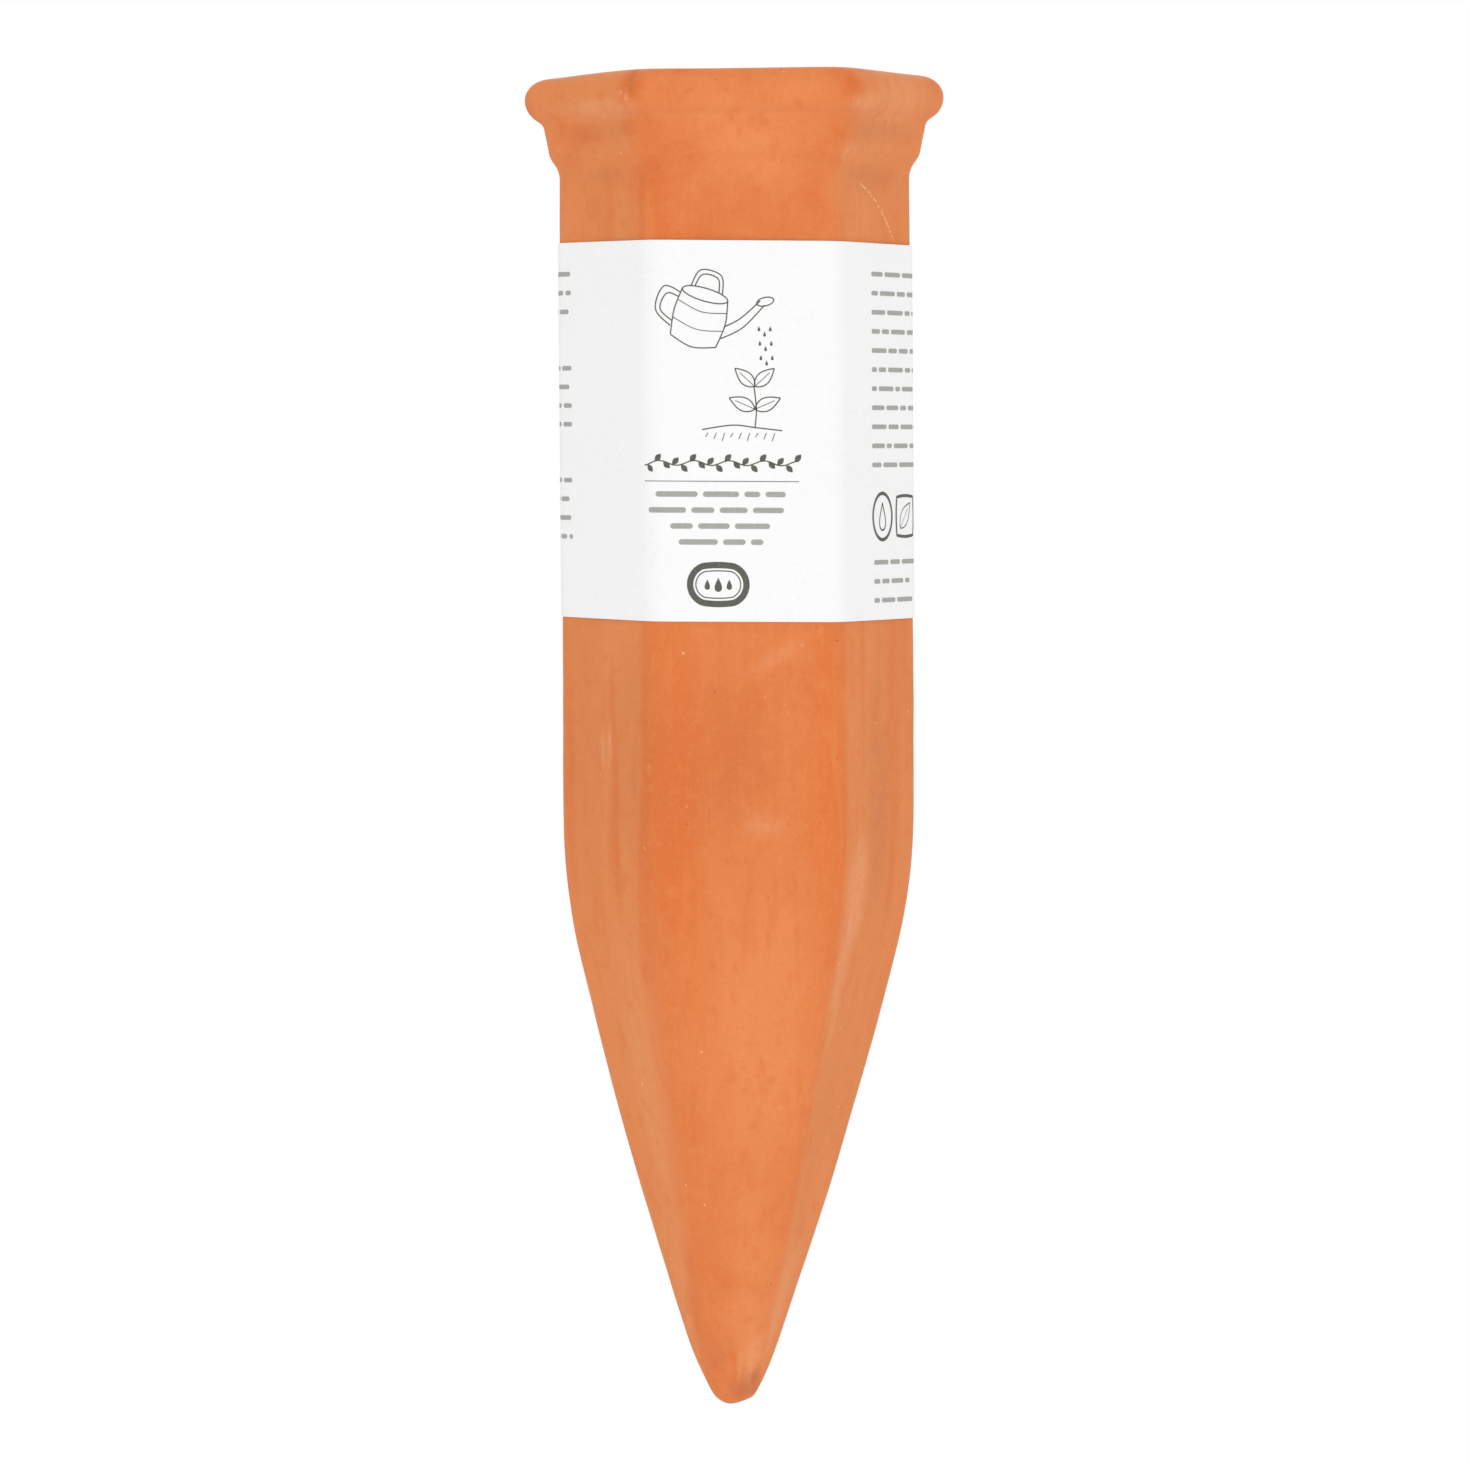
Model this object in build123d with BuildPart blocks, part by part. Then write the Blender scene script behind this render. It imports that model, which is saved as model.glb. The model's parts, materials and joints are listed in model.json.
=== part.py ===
from build123d import *
import os

# Terracotta watering spike with a paper band round it.
# The origin is at the tip, on the axis. +Z runs up the axis to the mouth.
# A flat face of the six-sided body looks along -Y, and the band's lap lies on the opposite face.
# Lengths are in millimetres and angles in degrees.

# Driving sizes of the clay body, which stacks its taper, straight body, collar and bead
taper_length = 80.0
straight_length = 85.8
collar_height = 7.6
bead_height = 6.6
bore_radius = 16.0
wall_thickness = 5.1
body_corner_radius = 4.0
face_count = 6

# Driving sizes of the taper and the blunt tip
turn_radius = 90.0
turn_angle = 12.2
tip_flat_distance = 3.95
tip_dome_height = 3.4

# Driving sizes of the hollow
mouth_edge_radius = 1.5
hollow_turn_rise = 8.0
hollow_end_radius = 3.2
hollow_dome_height = 2.4
solid_tip_length = 16.6

# Driving sizes of the rim bead and the collar under it
rim_overhang = 4.2
rim_corner_radius = 5.0
bead_edge_radius = 3.1
collar_overhang = 1.95

# Driving sizes of the paper band
band_height = 50.2
band_gap_under_collar = 8.6
paper_thickness = 0.15
band_clearance = 0.15
lap_width = 10.0
lap_step_length = 1.0
glue_thickness = 0.08
glue_edge_margin = 1.0

# Driving overrun of cuts past the faces that they open
cut_overrun = 1.0

# Shares along the taper's curves and the collar's swell at which sections stand
turn_section_shares = (0.0, 0.35, 0.7)
flank_section_shares = (0.0, 0.25, 0.5, 0.72, 0.9, 1.0)
collar_section_shares = (0.0, 0.25, 0.5, 0.75, 1.0)
# A corner of the six-sided section takes at most this share of its flat distance,
# and the bead's edges take at most this share of half its height
roundest_corner_share = 0.9
roundest_edge_share = 0.95
# The blunt tip's dome starts just inside the end of the taper
tip_dome_share = 0.97

# Worked out from the driving sizes
collar_bottom_height = taper_length + straight_length
bead_bottom_height = collar_bottom_height + collar_height
overall_height = bead_bottom_height + bead_height
body_flat_distance = bore_radius + wall_thickness
rim_flat_distance = body_flat_distance + rim_overhang
collar_flat_distance = body_flat_distance + collar_overhang
bead_rounding = min(bead_edge_radius, roundest_edge_share * bead_height / 2)
tip_dome_radius = tip_dome_share * tip_flat_distance
hollow_turn_height = taper_length + hollow_turn_rise
hollow_end_height = solid_tip_length + hollow_dome_height
band_bottom_height = collar_bottom_height - band_gap_under_collar - band_height
band_inner_distance = body_flat_distance + band_clearance
band_outer_distance = band_inner_distance + paper_thickness
band_inner_corner = body_corner_radius + band_clearance
band_outer_corner = band_inner_corner + paper_thickness
lap_outer_distance = band_outer_distance + glue_thickness + paper_thickness


def six_sided(flat_distance, corner_radius):
    """A six-sided outline with rounded corners, its flats at flat_distance from the middle."""
    rounding = min(corner_radius, roundest_corner_share * flat_distance)
    with BuildSketch(mode=Mode.PRIVATE) as outline:
        RegularPolygon(radius=flat_distance, side_count=face_count, major_radius=False)
        fillet(outline.vertices(), radius=rounding)
    return outline.sketch


# Side line of the taper: a turn out of the straight body, then a long gentle arc to the tip
with BuildLine() as taper_line:
    turn = JernArc(
        start=(body_flat_distance, taper_length),
        tangent=(0, -1),
        radius=turn_radius,
        arc_size=-turn_angle,
    )
    flank = TangentArc(turn @ 1, (tip_flat_distance, tip_dome_height), tangent=turn % 1)

taper_stations = [turn @ share for share in turn_section_shares]
taper_stations += [flank @ share for share in flank_section_shares]

# Clay body
with BuildPart() as terracotta_body:
    # Long taper
    for station in taper_stations:
        with BuildSketch(Plane.XY.offset(station.Y)):
            add(six_sided(station.X, body_corner_radius))
    loft()
    # Blunt tip
    with BuildSketch(Plane.XZ):
        with BuildLine():
            dome = TangentArc((0, 0), (tip_dome_radius, tip_dome_height), tangent=(1, 0))
            Polyline(dome @ 1, (0, tip_dome_height), (0, 0))
        make_face()
    revolve(axis=Axis.Z)
    # Straight body
    with BuildSketch(Plane.XY.offset(taper_length)):
        add(six_sided(body_flat_distance, body_corner_radius))
    extrude(amount=straight_length)
    # Collar that swells out under the bead
    for share in collar_section_shares:
        swell = share * share * (3 - 2 * share)
        with BuildSketch(Plane.XY.offset(collar_bottom_height + share * collar_height)):
            add(
                six_sided(
                    body_flat_distance + swell * collar_overhang,
                    body_corner_radius + swell * (rim_corner_radius - body_corner_radius),
                )
            )
    loft()
    # Core of the rim
    with BuildSketch(Plane.XY.offset(bead_bottom_height)):
        add(six_sided(collar_flat_distance, rim_corner_radius))
    extrude(amount=bead_height / 2)

# Bead of the rim, rounded above and below
with BuildPart() as rim_bead:
    with BuildSketch(Plane.XY.offset(bead_bottom_height)):
        add(six_sided(rim_flat_distance, rim_corner_radius))
    extrude(amount=bead_height)
    fillet(rim_bead.faces().sort_by(Axis.Z)[-1].edges(), radius=bead_rounding)
    fillet(rim_bead.faces().sort_by(Axis.Z)[0].edges(), radius=bead_rounding)

# Round hollow that holds the water and takes the bottle's neck
with BuildPart() as hollow:
    with BuildSketch(Plane.XZ):
        with BuildLine():
            Polyline(
                (0, solid_tip_length),
                (0, overall_height + cut_overrun),
                (bore_radius, overall_height + cut_overrun),
                (bore_radius, hollow_turn_height),
            )
            TangentArc(
                (bore_radius, hollow_turn_height),
                (hollow_end_radius, hollow_end_height),
                tangent=(0, -1),
            )
            TangentArc(
                (0, solid_tip_length),
                (hollow_end_radius, hollow_end_height),
                tangent=(1, 0),
            )
        make_face()
    revolve(axis=Axis.Z)

with terracotta_body:
    add(rim_bead.part)
    add(hollow.part, mode=Mode.SUBTRACT)
    mouth_edges = terracotta_body.faces().sort_by(Axis.Z)[-1].inner_wires().edges()
    fillet(mouth_edges, radius=mouth_edge_radius)

# Paper band: a closed ring, with the lap's outer layer standing on the back face
with BuildPart() as paper_sleeve:
    with BuildSketch(Plane.XY.offset(band_bottom_height)):
        add(six_sided(band_outer_distance, band_outer_corner))
        add(six_sided(band_inner_distance, band_inner_corner), mode=Mode.SUBTRACT)
        # Short slope where the paper climbs onto its own start
        with BuildLine():
            Polyline(
                (-lap_width / 2 - lap_step_length, band_outer_distance),
                (-lap_width / 2, band_outer_distance),
                (-lap_width / 2, lap_outer_distance),
                close=True,
            )
        make_face()
        # Outer layer of the lap
        with Locations((0, lap_outer_distance - paper_thickness / 2)):
            Rectangle(lap_width, paper_thickness)
    extrude(amount=band_height)

# Glue film inside the lap
glue_height = band_height - 2 * glue_edge_margin
glue_width = lap_width - glue_edge_margin
with BuildPart() as sleeve_glue:
    with BuildSketch(Plane.XY.offset(band_bottom_height + glue_edge_margin)):
        with Locations((-glue_edge_margin / 2, band_outer_distance + glue_thickness / 2)):
            Rectangle(glue_width, glue_thickness)
    extrude(amount=glue_height)

terracotta_body.part.label = "terracotta_body"
paper_sleeve.part.label = "paper_sleeve"
sleeve_glue.part.label = "sleeve_glue"

os.makedirs("parts", exist_ok=True)
export_step(terracotta_body.part, "parts/terracotta_body.step")
export_step(paper_sleeve.part, "parts/paper_sleeve.step")
export_step(sleeve_glue.part, "parts/sleeve_glue.step")
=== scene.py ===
"""Looks of a terracotta watering spike with a printed paper band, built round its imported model.

The clay body and the paper band are surfaces worked out on grids with numpy. The band's print is
thin ink laid on the band's own surface. Everything is in metres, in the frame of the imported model:
the tip stands at the origin, +Z runs up to the mouth, and a flat face looks along -Y.
"""

import json
import logging
from dataclasses import astuple, dataclass, field
from enum import Enum
from math import atan2, ceil, cos, degrees, hypot, pi, radians, sin, tan

import bpy
import numpy as np
from mathutils import Matrix, Vector

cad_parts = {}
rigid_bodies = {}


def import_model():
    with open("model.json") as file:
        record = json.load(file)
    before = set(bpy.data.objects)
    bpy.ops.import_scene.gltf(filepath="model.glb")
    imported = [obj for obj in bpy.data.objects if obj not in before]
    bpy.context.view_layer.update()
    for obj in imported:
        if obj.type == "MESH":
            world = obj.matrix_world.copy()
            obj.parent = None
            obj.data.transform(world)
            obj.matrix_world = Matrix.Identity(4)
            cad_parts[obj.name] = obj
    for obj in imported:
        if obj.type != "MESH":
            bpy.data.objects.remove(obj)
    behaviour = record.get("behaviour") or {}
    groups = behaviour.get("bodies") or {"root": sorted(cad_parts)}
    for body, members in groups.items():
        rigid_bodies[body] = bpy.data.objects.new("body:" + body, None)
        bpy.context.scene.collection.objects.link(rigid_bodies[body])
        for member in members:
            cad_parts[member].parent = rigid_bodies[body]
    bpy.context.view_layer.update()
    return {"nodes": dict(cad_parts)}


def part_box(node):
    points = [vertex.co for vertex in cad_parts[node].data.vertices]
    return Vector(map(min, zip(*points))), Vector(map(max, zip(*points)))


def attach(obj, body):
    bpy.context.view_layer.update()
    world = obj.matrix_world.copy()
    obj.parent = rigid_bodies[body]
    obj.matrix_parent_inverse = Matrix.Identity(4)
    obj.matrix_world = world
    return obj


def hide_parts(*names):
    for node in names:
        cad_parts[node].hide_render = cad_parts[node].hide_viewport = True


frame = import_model()

log = logging.getLogger("watering_spike")

MM = 0.001
FACE_COUNT = 6
FACE_ANGLE = 2 * pi / FACE_COUNT
HALF_FACE = FACE_ANGLE / 2
# Headings of a side line, in degrees from straight up, growing outwards
STRAIGHT_UP = 0.0
OUTWARDS = 90.0
INWARDS = -90.0
STRAIGHT_DOWN = -180.0

Array = np.ndarray
Colour = tuple[float, float, float, float]
Pair = tuple[float, float]
Triple = tuple[float, float, float]
Socket = bpy.types.NodeSocket
Object = bpy.types.Object

WHITE: Colour = (1.0, 1.0, 1.0, 1.0)


class Body(Enum):
    """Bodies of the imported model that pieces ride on."""

    SPIKE = "spike"
    SLEEVE = "sleeve"


class Slot(Enum):
    """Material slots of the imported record."""

    CLAY = "fired_clay"
    PAPER = "white_paper"
    GLUE = "dry_glue"


def paint(red: int, green: int, blue: int) -> Colour:
    """Turns a screen colour of 0 to 255 a channel into the linear colour that a shader takes.

    Args:
        red: Red channel.
        green: Green channel.
        blue: Blue channel.

    Returns:
        Linear red, green and blue, and full alpha.
    """
    shares = [value / 255 for value in (red, green, blue)]
    linear = [share / 12.92 if share <= 0.04045 else ((share + 0.055) / 1.055) ** 2.4 for share in shares]
    return (linear[0], linear[1], linear[2], 1.0)


def smooth(value: Array, low: float, high: float) -> Array:
    """Eased step from 0 at low to 1 at high, whichever is larger: 3t squared minus 2t cubed."""
    share = np.clip((value - low) / (high - low), 0.0, 1.0)
    return share * share * (3 - 2 * share)


def bell(value: Array, middle: float | Array, half_width: float | Array) -> Array:
    """Bell curve of height 1, which is e to the minus 1 at half_width from its middle."""
    return np.exp(-(((value - middle) / half_width) ** 2))


def turned(points: Array, angle: float) -> Array:
    """Turns points in their plane by some degrees, anticlockwise."""
    turn = radians(angle)
    return points @ np.array([[cos(turn), sin(turn)], [-sin(turn), cos(turn)]])


def make_piece(name: str, vertices: Array, faces: list[Array], is_smooth: bool = True) -> Object:
    """Makes one mesh object at the origin from arrays.

    Args:
        name: The piece's name.
        vertices: Places, one row of x, y and z each.
        faces: Arrays of vertex numbers, one row a face, each array of triangles or of quads.
        is_smooth: Whether the faces are shaded smooth.

    Returns:
        The new object, linked to the scene.
    """
    corners = np.concatenate([block.ravel() for block in faces]).astype(np.int32)
    totals = np.concatenate([np.full(len(block), block.shape[1]) for block in faces])
    starts = np.concatenate(([0], np.cumsum(totals)[:-1])).astype(np.int32)
    mesh = bpy.data.meshes.new(name)
    mesh.vertices.add(len(vertices))
    mesh.vertices.foreach_set("co", np.asarray(vertices, dtype=np.float32).ravel())
    mesh.loops.add(len(corners))
    mesh.loops.foreach_set("vertex_index", corners)
    mesh.polygons.add(len(totals))
    mesh.polygons.foreach_set("loop_start", starts)
    mesh.polygons.foreach_set("use_smooth", np.full(len(totals), is_smooth))
    mesh.update(calc_edges=True)
    mesh.validate()
    piece = bpy.data.objects.new(name, mesh)
    bpy.context.scene.collection.objects.link(piece)
    return piece


def grid_quads(rows: int, columns: int, wraps: bool) -> Array:
    """Quads that join the points of a grid numbered row by row.

    Args:
        rows: Number of rows of points.
        columns: Number of points in a row.
        wraps: Whether the last column joins the first.

    Returns:
        One row of four vertex numbers a quad.
    """
    row = np.arange(rows - 1)[:, None] * columns
    column = np.arange(columns if wraps else columns - 1)[None, :]
    after = (column + 1) % columns
    quads = np.stack([row + column, row + after, row + columns + after, row + columns + column], axis=-1)
    return quads.reshape(-1, 4)


def hexagon_reach(angle: Array, flat: Array, corner: Array) -> Array:
    """Distance from the axis to a rounded hexagon, in a direction.

    The angle is folded to its distance from the nearest flat's middle. On the flat, the reach is
    the flat's distance over the angle's cosine. Past the flat's end it is where the ray meets the
    corner's circle, whose centre lies at the flat's distance less the corner's radius, over the
    cosine of half a face.

    Args:
        angle: Directions in radians, from the middle of the front face.
        flat: Distances from the axis to the flats.
        corner: Radii of the corners. One that equals its flat's distance gives a circle.

    Returns:
        The distances, in the shape that the three arrays broadcast to.
    """
    off_middle = np.abs((angle + HALF_FACE) % FACE_ANGLE - HALF_FACE)
    centre = (flat - corner) / cos(HALF_FACE)
    to_corner = HALF_FACE - off_middle
    across = corner**2 - (centre * np.sin(to_corner)) ** 2
    on_corner = centre * np.cos(to_corner) + np.sqrt(np.clip(across, 0.0, None))
    on_flat = flat / np.cos(off_middle)
    is_flat = flat * np.tan(off_middle) <= (flat - corner) * tan(HALF_FACE)
    return np.where(is_flat, on_flat, on_corner)


@dataclass(frozen=True)
class HexagonPath:
    """Outline of a rounded hexagon, walked by arc length from the middle of its front face."""

    flat: float
    corner: float

    @property
    def half_flat(self) -> float:
        """Half the length of a flat, between its corners' arcs."""
        return (self.flat - self.corner) * tan(HALF_FACE)

    @property
    def pitch(self) -> float:
        """Arc length of one flat and one corner."""
        return 2 * self.half_flat + self.corner * FACE_ANGLE

    @property
    def perimeter(self) -> float:
        """Arc length once round."""
        return FACE_COUNT * self.pitch

    def at(self, walked: Array, outside: Array) -> tuple[Array, Array]:
        """Places beside the outline.

        The face is the whole number of pitches walked. On its flat a place is the flat's distance
        along the face's normal plus the rest along its tangent, and past the flat's end the normal
        turns by the rest over the corner's radius.

        Args:
            walked: Arc lengths from the middle of the front face, growing towards +X.
            outside: Distances outside the outline, along its normal.

        Returns:
            The x and the y of each place.
        """
        face = np.floor((walked + self.half_flat) / self.pitch)
        local = walked - face * self.pitch
        bend = np.clip((local - self.half_flat) / self.corner, 0.0, None)
        along = np.minimum(local, self.half_flat)
        facing = face * FACE_ANGLE
        core = self.flat - self.corner
        reach = self.corner + outside
        x = core * np.sin(facing) + along * np.cos(facing) + reach * np.sin(facing + bend)
        y = -core * np.cos(facing) + along * np.sin(facing) - reach * np.cos(facing + bend)
        return x, y


class Outline:
    """Side line of the clay, grown piece by piece as a heading that turns or runs straight.

    Each point has the distance of the flats from the axis, its height, and the corner radius of
    the section there.
    """

    least_arc_steps = 3

    def __init__(self, distance: float, height: float, heading: float, corner: float) -> None:
        """Starts at one point.

        Args:
            distance: Distance of the flats from the axis.
            height: Height above the tip.
            heading: Heading of the line at the start.
            corner: Corner radius of the section at the start.
        """
        self.points = np.array([[distance, height]])
        self.corners = np.array([corner])
        self.heading = heading

    def grow(self, distance: Array, height: Array, corner: float) -> None:
        """Adds points, along which the corner radius moves evenly to its new value.

        Args:
            distance: Distances of the flats from the axis.
            height: Heights above the tip.
            corner: Corner radius of the section at the last point.
        """
        count = len(distance)
        share = np.arange(1, count + 1) / count
        self.points = np.vstack([self.points, np.column_stack([distance, height])])
        last = self.corners[-1]
        self.corners = np.concatenate([self.corners, last + (corner - last) * share])

    def run(self, length: float, corner: float, step: float) -> None:
        """Goes straight on: each point is the start plus its share of the length, along the heading.

        Args:
            length: How far.
            corner: Corner radius of the section at the end.
            step: Longest distance between two points.
        """
        count = max(1, ceil(length / step))
        gone = length * np.arange(1, count + 1) / count
        ahead = radians(self.heading)
        start = self.points[-1]
        self.grow(start[0] + gone * sin(ahead), start[1] + gone * cos(ahead), corner)

    def arc(self, radius: float, heading: float, corner: float, step: float) -> None:
        """Turns at a steady radius to a new heading.

        Along an arc, the distance moves by the radius times the difference of the headings'
        cosines, and the height by the radius times the difference of their sines.

        Args:
            radius: Radius of the turn.
            heading: Heading at its end.
            corner: Corner radius of the section at the end.
            step: Longest distance between two points.
        """
        before = radians(self.heading)
        turn = radians(heading) - before
        side = 1.0 if turn > 0 else -1.0
        count = max(self.least_arc_steps, ceil(radius * abs(turn) / step))
        ahead = before + turn * np.arange(1, count + 1) / count
        start = self.points[-1]
        distance = start[0] + side * radius * (cos(before) - np.cos(ahead))
        height = start[1] + side * radius * (np.sin(ahead) - sin(before))
        self.grow(distance, height, corner)
        self.heading = heading

    def sweep_to(self, distance: float, height: float, corner: float, step: float) -> None:
        """Goes to a point on the one arc that leaves with the present heading.

        The arc turns by twice the angle between the heading and the chord, and its radius is the
        chord over twice that angle's sine.

        Args:
            distance: Distance of the flats from the axis at the end.
            height: Height at the end.
            corner: Corner radius of the section at the end.
            step: Longest distance between two points.
        """
        start = self.points[-1]
        chord = hypot(distance - start[0], height - start[1])
        off = atan2(distance - start[0], height - start[1]) - radians(self.heading)
        off = (off + pi) % (2 * pi) - pi
        self.arc(abs(chord / (2 * sin(off))), self.heading + degrees(2 * off), corner, step)


def cap_slope(distance: float, height: float, slope: float, radius: float, bottom: float) -> float:
    """Slope at which a taper's arc meets the round cap at its end.

    The cap is a circle centred on the axis. The arc leaves the taper's top at a slope and meets
    the cap at another, and the chord's slope is the mean of the two, which a few rounds settle.

    Args:
        distance: Distance from the axis at the taper's top.
        height: Height of the taper's top.
        slope: Slope there, in degrees from upright.
        radius: Radius of the cap.
        bottom: Height of the cap's lowest point.

    Returns:
        The slope at the cap, in degrees from upright.
    """
    rounds = 12
    meeting = slope
    for _ in range(rounds):
        lean = radians(meeting)
        end_distance = radius * cos(lean)
        end_height = bottom + radius * (1 - sin(lean))
        chord = degrees(atan2(distance - end_distance, height - end_height))
        meeting = 2 * chord - slope
    return meeting


@dataclass(frozen=True)
class Waves:
    """Gentle unevenness of a hand-finished surface: a sum of sine waves with seeded phases."""

    seed: int
    count: int
    most_turns: int
    shortest: float
    longest: float
    length_power: float = 0.5
    turn_loss: float = 0.25

    def over(self, angle: Array, height: Array) -> Array:
        """Height of the waves, about -1 to 1.

        Each wave is the sine of a whole number of turns round the axis, plus the height over the
        wave's length, plus a phase. Longer waves weigh more, and those with many turns weigh less.

        Args:
            angle: Directions round the axis, in radians.
            height: Heights above the tip.

        Returns:
            The sum, in the shape that the two arrays broadcast to.
        """
        draw = np.random.default_rng(self.seed)
        total = np.zeros(np.broadcast(angle, height).shape)
        weight_sum = 0.0
        for _ in range(self.count):
            turns = draw.integers(0, self.most_turns + 1) * draw.choice([-1, 1])
            length = self.shortest * (self.longest / self.shortest) ** draw.random()
            phase = draw.uniform(0, 2 * pi)
            weight = (length / self.longest) ** self.length_power / (1 + self.turn_loss * abs(turns))
            total += weight * np.sin(turns * angle + 2 * pi * height / length + phase)
            weight_sum += weight * weight
        return total / weight_sum**0.5


class Flow:
    """What flows out of one node of a material in the making. Sums and products add nodes."""

    def __init__(self, recipe: "Recipe", socket: Socket) -> None:
        """Holds a socket, and the recipe that its node belongs to."""
        self.recipe = recipe
        self.socket = socket

    def __add__(self, other: "Input") -> "Flow":
        """This plus the other."""
        return self.recipe.math("ADD", self, other)

    def __sub__(self, other: "Input") -> "Flow":
        """This less the other."""
        return self.recipe.math("SUBTRACT", self, other)

    def __rsub__(self, other: "Input") -> "Flow":
        """The other less this."""
        return self.recipe.math("SUBTRACT", other, self)

    def __mul__(self, other: "Input") -> "Flow":
        """This times the other."""
        return self.recipe.math("MULTIPLY", self, other)

    def __truediv__(self, other: "Input") -> "Flow":
        """This over the other."""
        return self.recipe.math("DIVIDE", self, other)

    def window(self, low: float, high: float) -> "Flow":
        """Eases from 0 at low to 1 at high, or from 1 to 0 where low is the larger.

        Args:
            low: Where the result is 0.
            high: Where it is 1.

        Returns:
            The eased share.
        """
        falling = low > high
        feeds = {
            "Value": self,
            "From Min": min(low, high),
            "From Max": max(low, high),
            "To Min": 1.0 if falling else 0.0,
            "To Max": 0.0 if falling else 1.0,
        }
        node = self.recipe.add("MapRange", feeds, interpolation_type="SMOOTHSTEP")
        return Flow(self.recipe, node.outputs["Result"])


Input = Flow | float | Colour


@dataclass(frozen=True)
class Noise:
    """Noise of a finish: so many bumps a metre, with finer ones on them."""

    scale: float
    detail: float
    roughness: float


@dataclass(frozen=True)
class Layer:
    """Colour laid over another where a noise eases from low to high, at most at its strength."""

    colour: Colour
    low: float
    high: float
    strength: float = 1.0


@dataclass(frozen=True)
class Relief:
    """Bump of a finish: the height of its noise in metres, and its strength."""

    depth: float
    strength: float


class Recipe:
    """Builds one node material in short steps, each of which gives the flow that the next one takes."""

    def __init__(self, name: str) -> None:
        """Starts a material that holds a Principled shader and its output.

        Args:
            name: The material's name.
        """
        self.material = bpy.data.materials.new(name)
        self.material.use_nodes = True
        self.tree = self.material.node_tree
        self.tree.nodes.clear()
        self.shader = self.tree.nodes.new("ShaderNodeBsdfPrincipled")
        self.output = self.tree.nodes.new("ShaderNodeOutputMaterial")
        self.tree.links.new(self.shader.outputs["BSDF"], self.output.inputs["Surface"])

    def feed(self, socket: Socket, value: Input) -> None:
        """Links a flow into a socket, or sets a constant on it.

        Args:
            socket: The socket.
            value: What goes into it.
        """
        if isinstance(value, Flow):
            self.tree.links.new(value.socket, socket)
        else:
            socket.default_value = value

    def add(self, kind: str, feeds: dict[str | int, Input], **settings: str) -> bpy.types.Node:
        """Adds a node.

        Args:
            kind: The node's type, less the words that every shader node's type begins with.
            feeds: What goes into its inputs, by their names or numbers.
            **settings: Its properties.

        Returns:
            The node.
        """
        node = self.tree.nodes.new("ShaderNode" + kind)
        for name, setting in settings.items():
            setattr(node, name, setting)
        for name, value in feeds.items():
            self.feed(node.inputs[name], value)
        return node

    def finish(self, **values: Input) -> bpy.types.Material:
        """Sets or links the shader's sockets, whose names are given with underscores.

        Args:
            **values: Constants or flows, by the shader socket's name.

        Returns:
            The material.
        """
        names = {socket.name.lower().replace(" ", "_"): socket for socket in self.shader.inputs}
        for name, value in values.items():
            self.feed(names[name], value)
        return self.material

    def place(self, stretch: Triple = (1.0, 1.0, 1.0)) -> Flow:
        """Object coordinates, stretched along the axes.

        Args:
            stretch: Factors along x, y and z.

        Returns:
            The coordinates.
        """
        source = Flow(self, self.add("TexCoord", {}).outputs["Object"])
        mapping = self.add("Mapping", {"Vector": source, "Scale": stretch})
        return Flow(self, mapping.outputs["Vector"])

    def noise(self, place: Flow, noise: Noise) -> Flow:
        """Noise from 0 to 1 at a place."""
        feeds = {"Vector": place, "Scale": noise.scale, "Detail": noise.detail, "Roughness": noise.roughness}
        return Flow(self, self.add("TexNoise", feeds).outputs["Fac"])

    def cells(self, place: Flow, scale: float) -> tuple[Flow, list[Flow]]:
        """Distance to the nearest of so many seeds a metre, in cells, and that seed's three numbers."""
        node = self.add("TexVoronoi", {"Vector": place, "Scale": scale})
        return Flow(self, node.outputs["Distance"]), self.channels(node.outputs["Color"])

    def math(self, operation: str, first: Input, second: Input = 0.0, third: Input = 0.0) -> Flow:
        """One arithmetic step, by its name. Only some operations use the third value."""
        node = self.add("Math", {0: first, 1: second, 2: third}, operation=operation)
        return Flow(self, node.outputs[0])

    def between(self, share: Input, low: Input, high: Input) -> Flow:
        """Value a share of the way from low to high: low plus the share of their difference."""
        return self.math("MULTIPLY_ADD", self.math("SUBTRACT", high, low), share, low)

    def blend(self, share: Input, base: Input, over: Input) -> Flow:
        """Mixes two colours.

        Args:
            share: Share of the second colour.
            base: First colour.
            over: Second colour.

        Returns:
            The mixed colour.
        """
        node = self.add("Mix", {"Factor": share}, data_type="RGBA")
        first, second = (socket for socket in node.inputs if socket.type == "RGBA")
        self.feed(first, base)
        self.feed(second, over)
        return Flow(self, next(socket for socket in node.outputs if socket.type == "RGBA"))

    def lay(self, base: Input, layer: Layer, noise: Flow, share: Flow | None = None) -> Flow:
        """Lays a layer over a colour by the noise's window, times the share, times its strength.

        Args:
            base: The colour below.
            layer: The layer.
            noise: The noise that its window reads.
            share: Where it is laid, or None for everywhere.

        Returns:
            The colour with the layer on it.
        """
        shown = noise.window(layer.low, layer.high)
        if share is not None:
            shown = share * shown
        return self.blend(shown * layer.strength, base, layer.colour)

    def channels(self, socket: Socket) -> list[Flow]:
        """Splits a colour into its three channels."""
        node = self.add("SeparateXYZ", {0: Flow(self, socket)})
        return [Flow(self, output) for output in node.outputs]

    def painted(self, name: str) -> tuple[list[Flow], Flow]:
        """Three channels and the alpha of an attribute painted on the mesh."""
        node = self.add("Attribute", {}, attribute_name=name)
        return self.channels(node.outputs["Color"]), Flow(self, node.outputs["Alpha"])

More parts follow.
